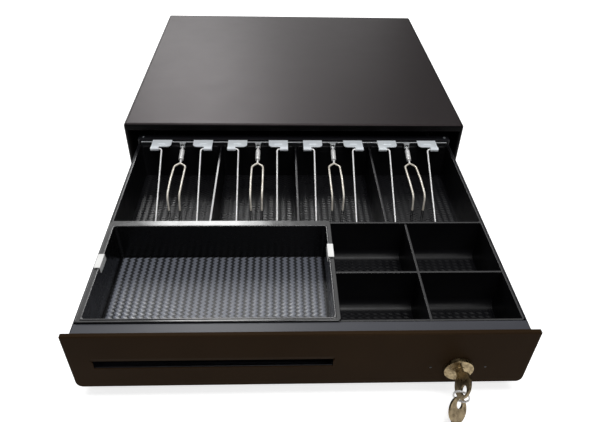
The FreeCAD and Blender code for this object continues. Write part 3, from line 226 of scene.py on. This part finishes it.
class Finish:
    """Builds one procedural material around a Principled shader."""

    def __init__(self, name, colour, roughness, metallic=0.0, specular=0.5):
        self.material = bpy.data.materials.new(name)
        self.material.use_nodes = True
        self.tree = self.material.node_tree
        self.shader = self.tree.nodes["Principled BSDF"]
        self.colour = colour
        self.roughness = roughness
        self.shader.inputs["Base Color"].default_value = (*colour, 1)
        self.shader.inputs["Roughness"].default_value = roughness
        self.shader.inputs["Metallic"].default_value = metallic
        self.shader.inputs["Specular IOR Level"].default_value = specular
        self.place = self.tree.nodes.new("ShaderNodeTexCoord").outputs["Object"]
        self.last_bump = None

    def link(self, a, b):
        """Joins an output to an input."""
        self.tree.links.new(a, b)

    def stretched(self, scale):
        """The object's coordinates, scaled along each axis."""
        mapping = self.tree.nodes.new("ShaderNodeMapping")
        mapping.inputs["Scale"].default_value = scale
        self.link(self.place, mapping.inputs["Vector"])
        return mapping.outputs["Vector"]

    def noise(self, scale, detail=3.0, stretch=(1, 1, 1)):
        """A noise from 0 to 1, with scale features to the metre."""
        node = self.tree.nodes.new("ShaderNodeTexNoise")
        node.inputs["Scale"].default_value = scale
        node.inputs["Detail"].default_value = detail
        node.inputs["Roughness"].default_value = 0.6
        self.link(self.stretched(stretch), node.inputs["Vector"])
        return node.outputs["Fac"]

    def ranged(self, value, low, high, start=0.3, end=0.7):
        """Maps start to low and end to high, and holds both beyond."""
        node = self.tree.nodes.new("ShaderNodeMapRange")
        node.inputs["From Min"].default_value = start
        node.inputs["From Max"].default_value = end
        node.inputs["To Min"].default_value = low
        node.inputs["To Max"].default_value = high
        self.link(value, node.inputs["Value"])
        return node.outputs["Result"]

    def vary_colour(self, value, other, start=0.3, end=0.7):
        """Blends towards another colour where value is high."""
        mix = self.tree.nodes.new("ShaderNodeMix")
        mix.data_type = "RGBA"
        self.link(self.ranged(value, 0, 1, start, end), mix.inputs["Factor"])
        socket = self.shader.inputs["Base Color"]
        if socket.is_linked:
            self.link(socket.links[0].from_socket, mix.inputs[6])
        else:
            mix.inputs[6].default_value = (*self.colour, 1)
        mix.inputs[7].default_value = (*other, 1)
        self.link(mix.outputs[2], socket)
        return self

    def vary_roughness(self, value, low, high):
        """Lets the roughness follow a noise."""
        self.link(self.ranged(value, low, high), self.shader.inputs["Roughness"])
        return self

    def bump(self, value, height, strength=1.0):
        """Adds a relief of some height to those that are there."""
        node = self.tree.nodes.new("ShaderNodeBump")
        node.inputs["Distance"].default_value = height
        node.inputs["Strength"].default_value = strength
        self.link(value, node.inputs["Height"])
        if self.last_bump is not None:
            self.link(self.last_bump, node.inputs["Normal"])
        self.last_bump = node.outputs["Normal"]
        self.link(self.last_bump, self.shader.inputs["Normal"])
        return self

    def worn_edges(self, colour, radius, full=2.0):
        """Blends in a colour where a surface turns, broken up by a noise, up to a share of 1 / full."""
        bevel = self.tree.nodes.new("ShaderNodeBevel")
        bevel.samples = 4
        bevel.inputs["Radius"].default_value = radius
        flat = self.tree.nodes.new("ShaderNodeNewGeometry")
        dot = self.tree.nodes.new("ShaderNodeVectorMath")
        dot.operation = "DOT_PRODUCT"
        self.link(bevel.outputs["Normal"], dot.inputs[0])
        self.link(flat.outputs["Normal"], dot.inputs[1])
        turn = self.ranged(dot.outputs["Value"], 1, 0, 0.75, 0.995)
        speck = self.ranged(self.noise(260, 4), 0.15, 1.0, 0.35, 0.62)
        both = self.tree.nodes.new("ShaderNodeMath")
        both.operation = "MULTIPLY"
        self.link(turn, both.inputs[0])
        self.link(speck, both.inputs[1])
        return self.vary_colour(both.outputs[0], colour, 0, full)

    def between(self, axis, start, end, reverse=False):
        """A mask that rises from 0 to 1 along an axis, or falls when reversed."""
        split = self.tree.nodes.new("ShaderNodeSeparateXYZ")
        self.link(self.place, split.inputs[0])
        low, high = (1, 0) if reverse else (0, 1)
        return self.ranged(split.outputs[axis], low, high, start, end)

    def soft_edges(self, radius):
        """Rounds the look of sharp edges a little, before any bump."""
        bevel = self.tree.nodes.new("ShaderNodeBevel")
        bevel.samples = 6
        bevel.inputs["Radius"].default_value = radius
        self.last_bump = bevel.outputs["Normal"]
        self.link(self.last_bump, self.shader.inputs["Normal"])
        return self


def powder_coat(name, colour, light, roughness, specular=0.5, edge=2.4, tint=(1, 1, 1)):
    """Painted sheet steel with a fine orange-peel grain and a slow drift of tone."""
    f = Finish(name, colour, roughness, 0.0, specular)
    f.shader.inputs["Specular Tint"].default_value = (*tint, 1)
    f.soft_edges(0.6 * MM)
    f.vary_colour(f.noise(9, 3), light, 0.35, 0.75)
    f.vary_roughness(f.noise(35, 4), roughness - 0.012, roughness + 0.016)
    f.bump(f.noise(1500, 2), 0.02 * MM, 0.6)
    f.worn_edges(tuple(min((c + 0.004) * edge, 1) for c in light), 0.7 * MM)
    return f


def moulded_plastic(name, colour, roughness, specular=0.5, edge=(0.05, 0.05, 0.055)):
    """Hard plastic with a faint moulded grain and paler rubbed edges."""
    f = Finish(name, colour, roughness, 0.0, specular)
    f.soft_edges(0.5 * MM)
    f.vary_colour(f.noise(14, 3), tuple(c * 1.6 + 0.001 for c in colour))
    f.vary_roughness(f.noise(60, 3), roughness - 0.03, roughness + 0.08)
    f.bump(f.noise(900, 2), 0.01 * MM, 0.5)
    f.worn_edges(edge, 0.6 * MM)
    return f


def plated_steel(name, colour, dull, roughness, brush=(1, 1, 1), metallic=1.0):
    """Plated steel, clouded with a duller tone, with brush marks along a squeezed axis."""
    f = Finish(name, colour, roughness, metallic)
    f.soft_edges(0.3 * MM)
    f.vary_colour(f.noise(70, 4), dull, 0.35, 0.8)
    f.vary_roughness(f.noise(180, 3, brush), roughness - 0.08, roughness + 0.12)
    f.bump(f.noise(720, 2, brush), 0.01 * MM, 0.4)
    return f


def brassy(name, colour, dark, roughness):
    """Old brass or nickel silver, dull in the hollows and rubbed bright at its edges."""
    f = Finish(name, colour, roughness, 1.0)
    f.soft_edges(0.3 * MM)
    f.vary_colour(f.noise(220, 5), dark, 0.42, 0.7)
    f.vary_roughness(f.noise(330, 4), roughness - 0.08, roughness + 0.2)
    f.bump(f.noise(700, 4), 0.03 * MM, 0.6)
    f.worn_edges(tuple(min(c * 1.35, 1) for c in colour), 0.5 * MM, 1.118)
    return f


def rubber(name, colour):
    """Dull black rubber with a fine grain."""
    f = Finish(name, colour, 0.75, 0.0, 0.35)
    f.soft_edges(0.4 * MM)
    f.vary_colour(f.noise(120, 4), tuple(c * 2 for c in colour))
    f.vary_roughness(f.noise(200, 3), 0.65, 0.9)
    f.bump(f.noise(1300, 3), 0.04 * MM, 0.7)
    return f


def wound_tape(name, colour, light):
    """Fabric tape round a coil."""
    f = Finish(name, colour, 0.5)
    f.vary_colour(f.noise(90, 3), light)
    f.bump(f.noise(400, 3), 0.04 * MM)
    return f


def paint(name, finish):
    """Gives a CAD node its finish."""
    materials = nodes[name].data.materials
    materials.clear()
    materials.append(finish.material)


def paint_where(name, finish, chosen):
    """Gives a node's faces a second finish where their centre and normal pass a test."""
    obj = nodes[name]
    obj.data.materials.append(finish.material)
    turn = obj.matrix_world.to_3x3()
    for face in obj.data.polygons:
        if chosen(obj.matrix_world @ face.center, turn @ face.normal):
            face.material_index = len(obj.data.materials) - 1


def finish_frame():
    """Makes every finish, paints the CAD nodes and returns the finishes by name."""
    # Painted steel
    coat = powder_coat("housing_coat", (0.0080, 0.0062, 0.0062), (0.0112, 0.0090, 0.0090), 0.42,
                       specular=0.215, tint=(1, 0.84, 0.88))
    # Painted shade: a darker, duller copy of the housing coat for the front face and lip
    front_face_shade = powder_coat("mouth_coat", (0.0030, 0.0028, 0.0030), (0.0045, 0.0040, 0.0042), 0.55, specular=0.05)
    pan = powder_coat("pan_coat", (0.012, 0.0115, 0.0125), (0.02, 0.019, 0.02), 0.45)
    dark = powder_coat("inner_coat", (0.008, 0.008, 0.010), (0.014, 0.014, 0.017), 0.4)
    drawer = powder_coat("drawer_coat", (0.026, 0.028, 0.037), (0.038, 0.040, 0.051), 0.36,
                         specular=0.48, edge=0.9)
    # Painted shade: a darker copy of the drawer coat for the drawer body further back
    walls = powder_coat("drawer_wall_coat", (0.008, 0.008, 0.010), (0.012, 0.012, 0.015), 0.38,
                        specular=0.2, edge=1.6)
    front = powder_coat("panel_coat", (0.0240, 0.0138, 0.0068), (0.0300, 0.0174, 0.0086), 0.5, specular=0.015)

    # Plastics and rubber
    tray = moulded_plastic("till_plastic", (0.0030, 0.0030, 0.0036), 0.34, specular=0.16)
    tray_edge = moulded_plastic("till_edge_plastic", (0.0040, 0.0040, 0.0048), 0.2, specular=0.6)
    lift_box = moulded_plastic("box_plastic", (0.0028, 0.0028, 0.0032), 0.24, specular=0.2)
    box_rim = moulded_plastic("box_rim_plastic", (0.0050, 0.0050, 0.0056), 0.14, specular=0.9)
    bay_ribs = moulded_plastic("bay_rib_plastic", (0.0036, 0.0036, 0.0044), 0.27, specular=0.36)
    ribbed = moulded_plastic("ribbed_plastic", (0.008, 0.009, 0.011), 0.34, specular=0.7,
                             edge=(0.10, 0.105, 0.12))
    # Painted sheen and shade: the ridge tops of the box floor's zigzag are coloured silver-blue and the valleys
    # stay near black
    ridges = ribbed.between("Z", box_texture_z + 0.15 * MM, box_texture_z + 0.23 * MM)
    ribbed.vary_colour(ridges, (0.150, 0.160, 0.192), 0, 1)
    # Painted highlight: the rim bead is a lighter copy of the box plastic
    bead = moulded_plastic("bead_plastic", (0.020, 0.020, 0.022), 0.16, specular=0.9)
    matt = moulded_plastic("matt_plastic", (0.012, 0.012, 0.012), 0.55)
    white = moulded_plastic("white_tab", (0.66, 0.66, 0.65), 0.6, specular=0.15, edge=(0.62, 0.62, 0.61))
    red = moulded_plastic("red_button", (0.35, 0.04, 0.03), 0.4, edge=(0.5, 0.1, 0.08))
    foot = rubber("foot_rubber", (0.018, 0.018, 0.019))
    tape = wound_tape("winding_tape", (0.30, 0.05, 0.03), (0.42, 0.09, 0.05))

    # Plated and bare steel
    zinc = plated_steel("zinc_plate", (0.62, 0.66, 0.70), (0.45, 0.48, 0.52), 0.3)
    # Zinc plate for the brackets, paler and less metallic than the other zinc: its zinc tone with painted light on
    # top
    bright_zinc = plated_steel("bright_zinc", (0.88, 0.93, 0.97), (0.80, 0.86, 0.92), 0.42, metallic=0.1)
    slide_zinc = plated_steel("slide_zinc", (0.55, 0.57, 0.60), (0.4, 0.42, 0.45), 0.32, (1, 0.03, 1))
    steel = plated_steel("turned_steel", (0.6, 0.6, 0.62), (0.45, 0.45, 0.47), 0.25)
    blued = plated_steel("blued_steel", (0.12, 0.13, 0.16), (0.07, 0.07, 0.09), 0.3)
    chrome = plated_steel("bright_wire", (0.93, 0.93, 0.93), (0.86, 0.85, 0.84), 0.26, metallic=0.15)
    warm = plated_steel("warm_wire", (0.92, 0.88, 0.80), (0.72, 0.65, 0.54), 0.22, metallic=0.15)
    sleeve = plated_steel("dark_wire", (0.030, 0.028, 0.028), (0.012, 0.011, 0.011), 0.22, metallic=0.6)

    # The rail is dark steel with a painted highlight along its top edge, and bright ears
    rail = plated_steel("rail_steel", (0.030, 0.030, 0.034), (0.018, 0.018, 0.020), 0.3, metallic=0.5)
    rail_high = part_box("clip_rail")[1]
    top_edge_highlight = rail.between("Z", rail_high.z - 0.8 * MM, rail_high.z - 0.5 * MM)
    rail.vary_colour(top_edge_highlight, (0.80, 0.83, 0.86), 0, 1)
    ears = rail.between("Y", rail_high.y - 4.5 * MM, rail_high.y - 4.0 * MM, reverse=True)
    rail.vary_colour(ears, (0.62, 0.64, 0.66), 0, 1)

    # Brass and nickel silver
    brass = brassy("lock_brass", (0.36, 0.28, 0.16), (0.095, 0.064, 0.030), 0.26)
    key_metal = brassy("key_metal", (0.29, 0.225, 0.135), (0.095, 0.066, 0.032), 0.3)

    slides = [f"slide_{part}_{side}" for part in ("outer", "middle", "inner") for side in ("left", "right")]
    finishes = {
        coat: ["housing_cover"],
        pan: ["base_pan"],
        dark: ["front_crossbar", "media_chute"],
        drawer: ["drawer_body"],
        front: ["front_panel"],
        tray: ["till_tray"],
        lift_box: ["lift_out_box"],
        matt: ["cable_socket", "sense_switch"],
        white: ["rim_tabs"],
        red: ["switch_button"],
        rail: ["clip_rail"],
        zinc: ["latch_base", "solenoid_frame", "striker", "lock_cam", "latch_lever"],
        bright_zinc: ["bill_brackets"],
        slide_zinc: slides,
        steel: ["latch_pin", "solenoid_plunger"],
        blued: ["ejector_spring"],
        chrome: ["key_ring"] + [f"bill_wire_{n}" for n in range(1, 9)],
        warm: [f"bill_clip_{n}" for n in range(1, 5)],
        brass: ["lock_barrel", "lock_nut", "lock_plug"],
        key_metal: ["key", "spare_key"],
        sleeve: [f"clip_tips_{n}" for n in range(1, 5)],
        foot: ["rubber_feet"],
        tape: ["solenoid_coil"],
    }
    for finish, names in finishes.items():
        for name in names:
            paint(name, finish)
    # Painted shade: the housing's front face and lip take the darker copy of its coat
    paint_where("housing_cover", front_face_shade, lambda centre, normal: centre.y < face_y + 0.8 * MM)
    for name in slides:
        paint_where(name, dark, lambda centre, normal: normal.y < -0.7)
    # Painted shade: the drawer body more than 30 mm behind the panel takes the darker copy of its coat
    paint_where("drawer_body", walls, lambda centre, normal: centre.y > panel_high.y + 30 * MM)
    paint_where("till_tray", tray_edge,
                lambda centre, normal: centre.z > till_high.z - 6 * MM and normal.z > 0.2)
    paint_where("lift_out_box", box_rim,
                lambda centre, normal: centre.z > box_high.z - 2.5 * MM and normal.z > -0.2)
    return {finish.material.name: finish for finish in (*finishes, ribbed, bay_ribs, bead)}


# Pieces modelled here

def new_piece(name, verts, faces, body, finish, smooth=False):
    """A mesh that rides on a body, with its finish."""
    mesh = bpy.data.meshes.new(name)
    mesh.from_pydata([tuple(v) for v in verts], [], faces)
    mesh.validate()
    if smooth:
        mesh.shade_smooth()
        mesh.set_sharp_from_angle(angle=math.radians(50))
    obj = bpy.data.objects.new(name, mesh)
    bpy.context.scene.collection.objects.link(obj)
    mesh.materials.append(finish.material)
    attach(obj, body)
    return obj


def chevron_floor(name, x0, x1, y0, y1, z, body, finish):
    """Zigzag corrugation moulded in a floor: ridges and valleys that shift left and right together."""
    columns = max(2, round((x1 - x0) / RIDGE_WIDTH))
    rows = max(2, round((y1 - y0) / RIDGE_STEP))
    width, pitch = (x1 - x0) / columns, (y1 - y0) / rows
    shift = width * 0.16
    verts, faces = [], []
    lines = 2 * columns + 1
    for r in range(rows + 1):
        lean = shift if r % 2 else -shift
        for k in range(lines):
            x = x0 + k * width / 2 + (0 if k in (0, lines - 1) else lean)
            verts.append((x, y0 + r * pitch, z + (RIDGE_RISE if k % 2 else 0)))
    for r in range(rows):
        for k in range(lines - 1):
            a = r * lines + k
            faces.append((a, a + 1, a + lines + 1, a + lines))
    return new_piece(name, verts, faces, body, finish)


def round_wire(name, points, radius, body, finish, corners, steps=6):
    """A round wire through points, with an arc of its own radius at each inner point."""
    path = [points[0]]
    for here, before, after, bend in zip(points[1:-1], points, points[2:], corners):
        a, b = (before - here).normalized(), (after - here).normalized()
        half = a.angle(b) / 2
        bend = min(bend, math.tan(half) * 0.48 * min((before - here).length, (after - here).length))
        reach = bend / math.tan(half)
        middle = here + (a + b).normalized() * bend / math.sin(half)
        start, end = here + a * reach - middle, here + b * reach - middle
        axis, turn = start.cross(end).normalized(), start.angle(end)
        for k in range(steps + 1):
            path.append(middle + Matrix.Rotation(turn * k / steps, 3, axis) @ start)
    path.append(points[-1])
    return tube(name, path, radius, body, finish)


def tube(name, path, radius, body, finish, sides=12):
    """A closed tube along a path of points, kept untwisted from ring to ring."""
    verts, faces = [], []
    count = len(path)
    across = None
    for k, p in enumerate(path):
        along = (path[min(k + 1, count - 1)] - path[max(k - 1, 0)]).normalized()
        if across is None:
            across = along.orthogonal().normalized()
        across = (across - along * across.dot(along)).normalized()
        third = along.cross(across)
        for n in range(sides):
            angle = 2 * math.pi * n / sides
            verts.append(p + (across * math.cos(angle) + third * math.sin(angle)) * radius)
    for k in range(count - 1):
        for n in range(sides):
            a, b = k * sides + n, k * sides + (n + 1) % sides
            faces.append((a, b, b + sides, a + sides))
    faces.append(tuple(reversed(range(sides))))
    faces.append(tuple((count - 1) * sides + n for n in range(sides)))
    return new_piece(name, verts, faces, body, finish, smooth=True)


def joint_place(name):
    """Where a joint's axis lies."""
    return Vector(next(j["pos_m"] for j in frame["joints"] if j["name"] == name))


def bill_wires(finish):
    """Eight round wires, each turning in its bracket's sleeve and lying on its bay's floor."""
    slope = math.radians(30.0)
    for n in range(1, 9):
        node, body = f"bill_wire_{n}", f"wire_{n}"
        low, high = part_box(node)
        hinge = joint_place(f"wire_{n}_hinge")
        radius = high.z - hinge.z
        outer, x = (low.x, high.x - radius) if n % 2 else (high.x, low.x + radius)
        end = Vector((x, low.y + radius * math.sin(slope), 0))
        end.z = hinge.z - (hinge.y - end.y) * math.tan(slope)
        points = [Vector((outer, hinge.y, hinge.z)), Vector((x, hinge.y, hinge.z)), end]
        piece = round_wire(f"smooth_wire_{n}", points, radius, body, finish, [3 * MM])
        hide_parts(node)


def bill_clips(finish, warm, dark):
    """Four sprung clips: an eye, a stem with its coil, two bowed prongs and a dark loop at each end."""
    slope = math.radians(13.0)
    stem_length = 27.5 * MM
    away = Vector((0, -math.cos(slope), -math.sin(slope)))
    for n in range(1, 5):
        hinge = joint_place(f"clip_{n}_hinge")
        apex = hinge + away * stem_length
        pieces = clip_stem(n, hinge, away, apex, finish)
        prongs, loops = clip_prongs(n, apex, away, warm, dark)
        for piece in pieces + prongs:
            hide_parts(f"bill_clip_{n}")
        for loop in loops:
            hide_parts(f"clip_tips_{n}")


def clip_stem(n, hinge, away, apex, finish):
    """A clip's eye, coil spring, stem and the collars at the spring's ends."""
    body = f"clip_{n}"
    eye_radius, spring_radius = 1.6 * MM, 2.3 * MM
    spring_start, spring_end = 5.8 * MM, 20.8 * MM
    turns, steps = 13, 18
    x_axis = Vector((1, 0, 0))
    side_axis = away.cross(x_axis)
    eye = []
    for k in range(17):
        angle = math.pi * 2 * k / 16
        eye.append(hinge + Vector((0, math.cos(angle), math.sin(angle))) * eye_radius)
    coil = []
    for k in range(turns * steps + 1):
        share = k / (turns * steps)
        angle = 2 * math.pi * turns * share
        radius = spring_radius * min(1, 0.5 + 10 * min(share, 1 - share))
        coil.append(hinge + away * (spring_start + (spring_end - spring_start) * share)
                    + (x_axis * math.cos(angle) + side_axis * math.sin(angle)) * radius)
    pieces = [
        tube(f"clip_eye_{n}", eye, 0.52 * MM, body, finish, sides=10),
        tube(f"clip_coil_{n}", coil, 0.56 * MM, body, finish, sides=8),
        tube(f"clip_stem_{n}", [hinge + away * eye_radius, apex], 1.1 * MM, body, finish),
    ]
    for distance, end_name in ((spring_start, "upper"), (spring_end, "lower")):
        at = hinge + away * distance
        pieces.append(tube(f"clip_collar_{n}_{end_name}", [at - away * 0.4 * MM, at + away * 0.4 * MM],
                           2.7 * MM, body, finish, sides=20))
    return pieces


def clip_prongs(n, apex, away, warm, dark):
    """A clip's two prongs, out from the stem, over the notes and down, and their end loops."""
    body = f"clip_{n}"
    wire = 1.1 * MM
    bends = [5.8 * MM, 60 * MM, 8 * MM]  # at the shoulder, the bow and the knee
    low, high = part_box(f"bill_clip_{n}")
    tip_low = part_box(f"clip_tips_{n}")[0]
    spread = (high.x - low.x) / 2 - wire
    bow_y = (apex.y + low.y + wire * 3) / 2
    prongs, loops = [], []
    for side, side_name in ((-1, "left"), (1, "right")):
        foot = Vector((apex.x + side * (spread - 0.9 * MM), tip_low.y + 1.6 * MM, tip_low.z + 1 * MM))
        knee = Vector((apex.x + side * spread, foot.y + 6.2 * MM, apex.z - 1.6 * MM))
        shoulder = Vector((apex.x + side * spread, apex.y - 4.5 * MM, apex.z - 0.4 * MM))
        bow = Vector((apex.x + side * (spread + 0.3 * MM), bow_y, apex.z + 0.6 * MM))
        rise = (knee - foot).normalized()
        neck = foot + rise * 16.5 * MM
        points = [apex - away * 1 * MM, shoulder, bow, knee, neck + rise * 1 * MM]
        prongs.append(round_wire(f"clip_prong_{n}_{side_name}", points, wire, body, warm,
                                 bends, steps=8))
        loops.append(hairpin(f"clip_loop_{n}_{side_name}", neck + rise * 1.5 * MM, foot,
                             0.98 * MM, 0.42 * MM, body, dark))
    return prongs, loops


def hairpin(name, start, end, half, wire, body, finish):
    """A narrow closed loop of dark wire, which ends a prong."""
    along = (end - start).normalized()
    across = Vector((1, 0, 0))
    length = (end - start).length - half
    path = []
    for k in range(13):
        angle = math.pi * (1 - k / 12)
        path.append(start + along * half * 0.9 * (1 - math.sin(angle)) + across * half * math.cos(angle))
    for k in range(13):
        angle = math.pi * k / 12
        path.append(start + along * (length + half * 0.9 * math.sin(angle))
                    + across * half * math.cos(angle))
    path.append(path[0].copy())
    return tube(name, path, wire, body, finish, sides=10)


def chevron_floors(tray, lift_box):
    """The zigzag texture moulded in every compartment's floor, a little wider than the opening's box."""
    spread, coin_spread = 2.2 * MM, 0.7 * MM
    back_margin = 2.9 * MM  # from the till's back, its wall included
    for opening in frame["record"]["physics"]["openings"]:
        name = opening["name"]
        (x0, y0, _), (x1, y1, _) = opening["box_m"]
        z, body, finish, slot = till_texture_z, "till", tray, "till_tray"
        if name.startswith("note_bay"):
            x0, x1, y0, y1 = x0 - spread, x1 + spread, y0 - spread, till_high.y - back_margin
        elif name.startswith("coin_cup"):
            x0, x1 = x0 - coin_spread, x1 + coin_spread
        elif name == "lift_out_box":
            z, body, finish, slot = box_texture_z, "box", lift_box, "lift_out_box"
            x0, x1, y0, y1 = x0 - spread, x1 + spread, y0 - spread, y1 + spread
        else:
            continue
        chevron_floor("floor_texture_" + name, x0, x1, y0, y1, z, body, finish)


def box_bead(finish):
    """The thin rounded bead along the lift-out box's inner rim."""
    radius, corner, outside, proud = 0.75 * MM, 1.8 * MM, 0.6 * MM, 0.1 * MM
    wall_clear = 4 * MM  # between the opening's box and the walls
    reach = corner + outside
    opening = next(o for o in frame["record"]["physics"]["openings"] if o["name"] == "lift_out_box")
    (x0, y0, _), (x1, y1, _) = opening["box_m"]
    x0, y0, x1, y1 = x0 - wall_clear, y0 - wall_clear, x1 + wall_clear, y1 + wall_clear
    z = box_high.z + proud - radius
    path = []
    for cx, cy, start in ((x1 - corner, y1 - corner, 0), (x0 + corner, y1 - corner, 90),
                          (x0 + corner, y0 + corner, 180), (x1 - corner, y0 + corner, 270)):
        for k in range(7):
            angle = math.radians(start + 15 * k)
            path.append(Vector((cx + reach * math.cos(angle), cy + reach * math.sin(angle), z)))
    ring("box_bead", path, radius, "box", finish)


def ring(name, path, radius, body, finish, sides=12):
    """A closed round bead in a level plane, with its end joined to its start."""
    verts, faces = [], []
    count = len(path)
    for k, p in enumerate(path):
        along = (path[(k + 1) % count] - path[k - 1]).normalized()
        across = along.cross(Vector((0, 0, 1)))
        for n in range(sides):
            angle = 2 * math.pi * n / sides
            verts.append(p + (across * math.cos(angle) + Vector((0, 0, 1)) * math.sin(angle)) * radius)
    for k in range(count):
        for n in range(sides):
            a, b = k * sides + n, k * sides + (n + 1) % sides
            c, d = ((k + 1) % count) * sides + (n + 1) % sides, ((k + 1) % count) * sides + n
            faces.append((a, b, c, d))
    return new_piece(name, verts, faces, body, finish, smooth=True)


def screw_head(name, place, axis, radius, height, body, finish, cross=True):
    """A domed screw head with a cross recess, or a plain rivet head."""
    sides = 24
    place, axis = Vector(place), Vector(axis)
    across = axis.orthogonal().normalized()
    third = axis.cross(across)
    spokes = [across * math.cos(2 * math.pi * k / sides) + third * math.sin(2 * math.pi * k / sides)
              for k in range(sides)]
    mesh = bmesh.new()

    def loop(shares, rise):
        """One ring of the head, at some share of its height."""
        return [mesh.verts.new(place + spoke * radius * share + axis * height * rise)
                for spoke, share in zip(spokes, shares)]

    dome = [(1.0, 0.0), (1.0, 0.35), (0.86, 0.75), (0.55, 0.96), (0.3, 1.0)]
    loops = [loop([share] * sides, rise) for share, rise in dome]
    if cross:
        recess = [0.28 if k % 6 in (0, 1, 5) else 0.08 for k in range(sides)]
        loops.append(loop(recess, 0.3))
    for a, b in zip(loops, loops[1:]):
        for k in range(sides):
            mesh.faces.new((a[k], a[(k + 1) % sides], b[(k + 1) % sides], b[k]))
    mesh.faces.new(list(reversed(loops[0])))
    mesh.faces.new(loops[-1])
    data = bpy.data.meshes.new(name)
    mesh.to_mesh(data)
    mesh.free()
    obj = bpy.data.objects.new(name, data)
    bpy.context.scene.collection.objects.link(obj)
    data.materials.append(finish.material)
    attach(obj, body)


def small_fittings(zinc, dark, ink):
    """Rivets on the drawer's rear flange, screws under the housing and two marks beside the lock."""
    drawer_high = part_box("drawer_body")[1]
    pan_low, pan_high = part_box("base_pan")
    centre = (lock_low + lock_high) / 2
    rivet_out, rivet_in, screw_in = 184.5 * MM, 3.5 * MM, 8 * MM
    mark_out, mark_rise = 23.5 * MM, 0.5 * MM
    for side, word in ((-1, "left"), (1, "right")):
        rivet = (side * rivet_out, drawer_high.y - rivet_in, drawer_high.z)
        screw_head(f"flange_rivet_{word}", rivet, (0, 0, 1), 1.9 * MM, 1.1 * MM, "drawer", zinc,
                   cross=False)
        for row, share in enumerate((0.1, 0.5, 0.9)):
            y = pan_low.y + (pan_high.y - pan_low.y) * share
            screw = (side * (pan_high.x - screw_in), y, pan_low.z)
            screw_head(f"pan_screw_{word}_{row}", screw, (0, 0, -1), 3.4 * MM, 1.9 * MM, "housing", dark)
    for side, word in ((-1, "left"), (1, "right")):
        mark = (centre.x + side * mark_out, panel_low.y, centre.z + mark_rise)
        screw_head(f"lock_mark_{word}", mark, (0, -1, 0), 1.1 * MM, 0.12 * MM, "drawer", ink,
                   cross=False)


bpy.context.scene.view_settings.view_transform = "Standard"
add_camera()
add_lamp("rear_softbox", (-0.40, 1.72, 1.50), (-0.05, -0.1, 0.05), 0.56, 1.3, 22)
add_lamp("overhead_softbox", (0.05, -0.55, 2.2), (0, -0.15, 0.05), 1.0, 0.8, 25)
add_lamp("front_fill", (0.6, -1.5, 1.6), (0, -0.1, 0.05), 1.2, 1.0, 9)
light_world(0.25)
add_floor()
add_hood("front_hood", -100, 125, 68)
add_hood("rear_flag", 127, 166, 33)
made = finish_frame()
bill_wires(made["bright_wire"])
bill_clips(made["bright_wire"], made["warm_wire"], made["dark_wire"])
chevron_floors(made["bay_rib_plastic"], made["ribbed_plastic"])
box_bead(made["bead_plastic"])
small_fittings(made["zinc_plate"], made["matt_plastic"], made["box_plastic"])
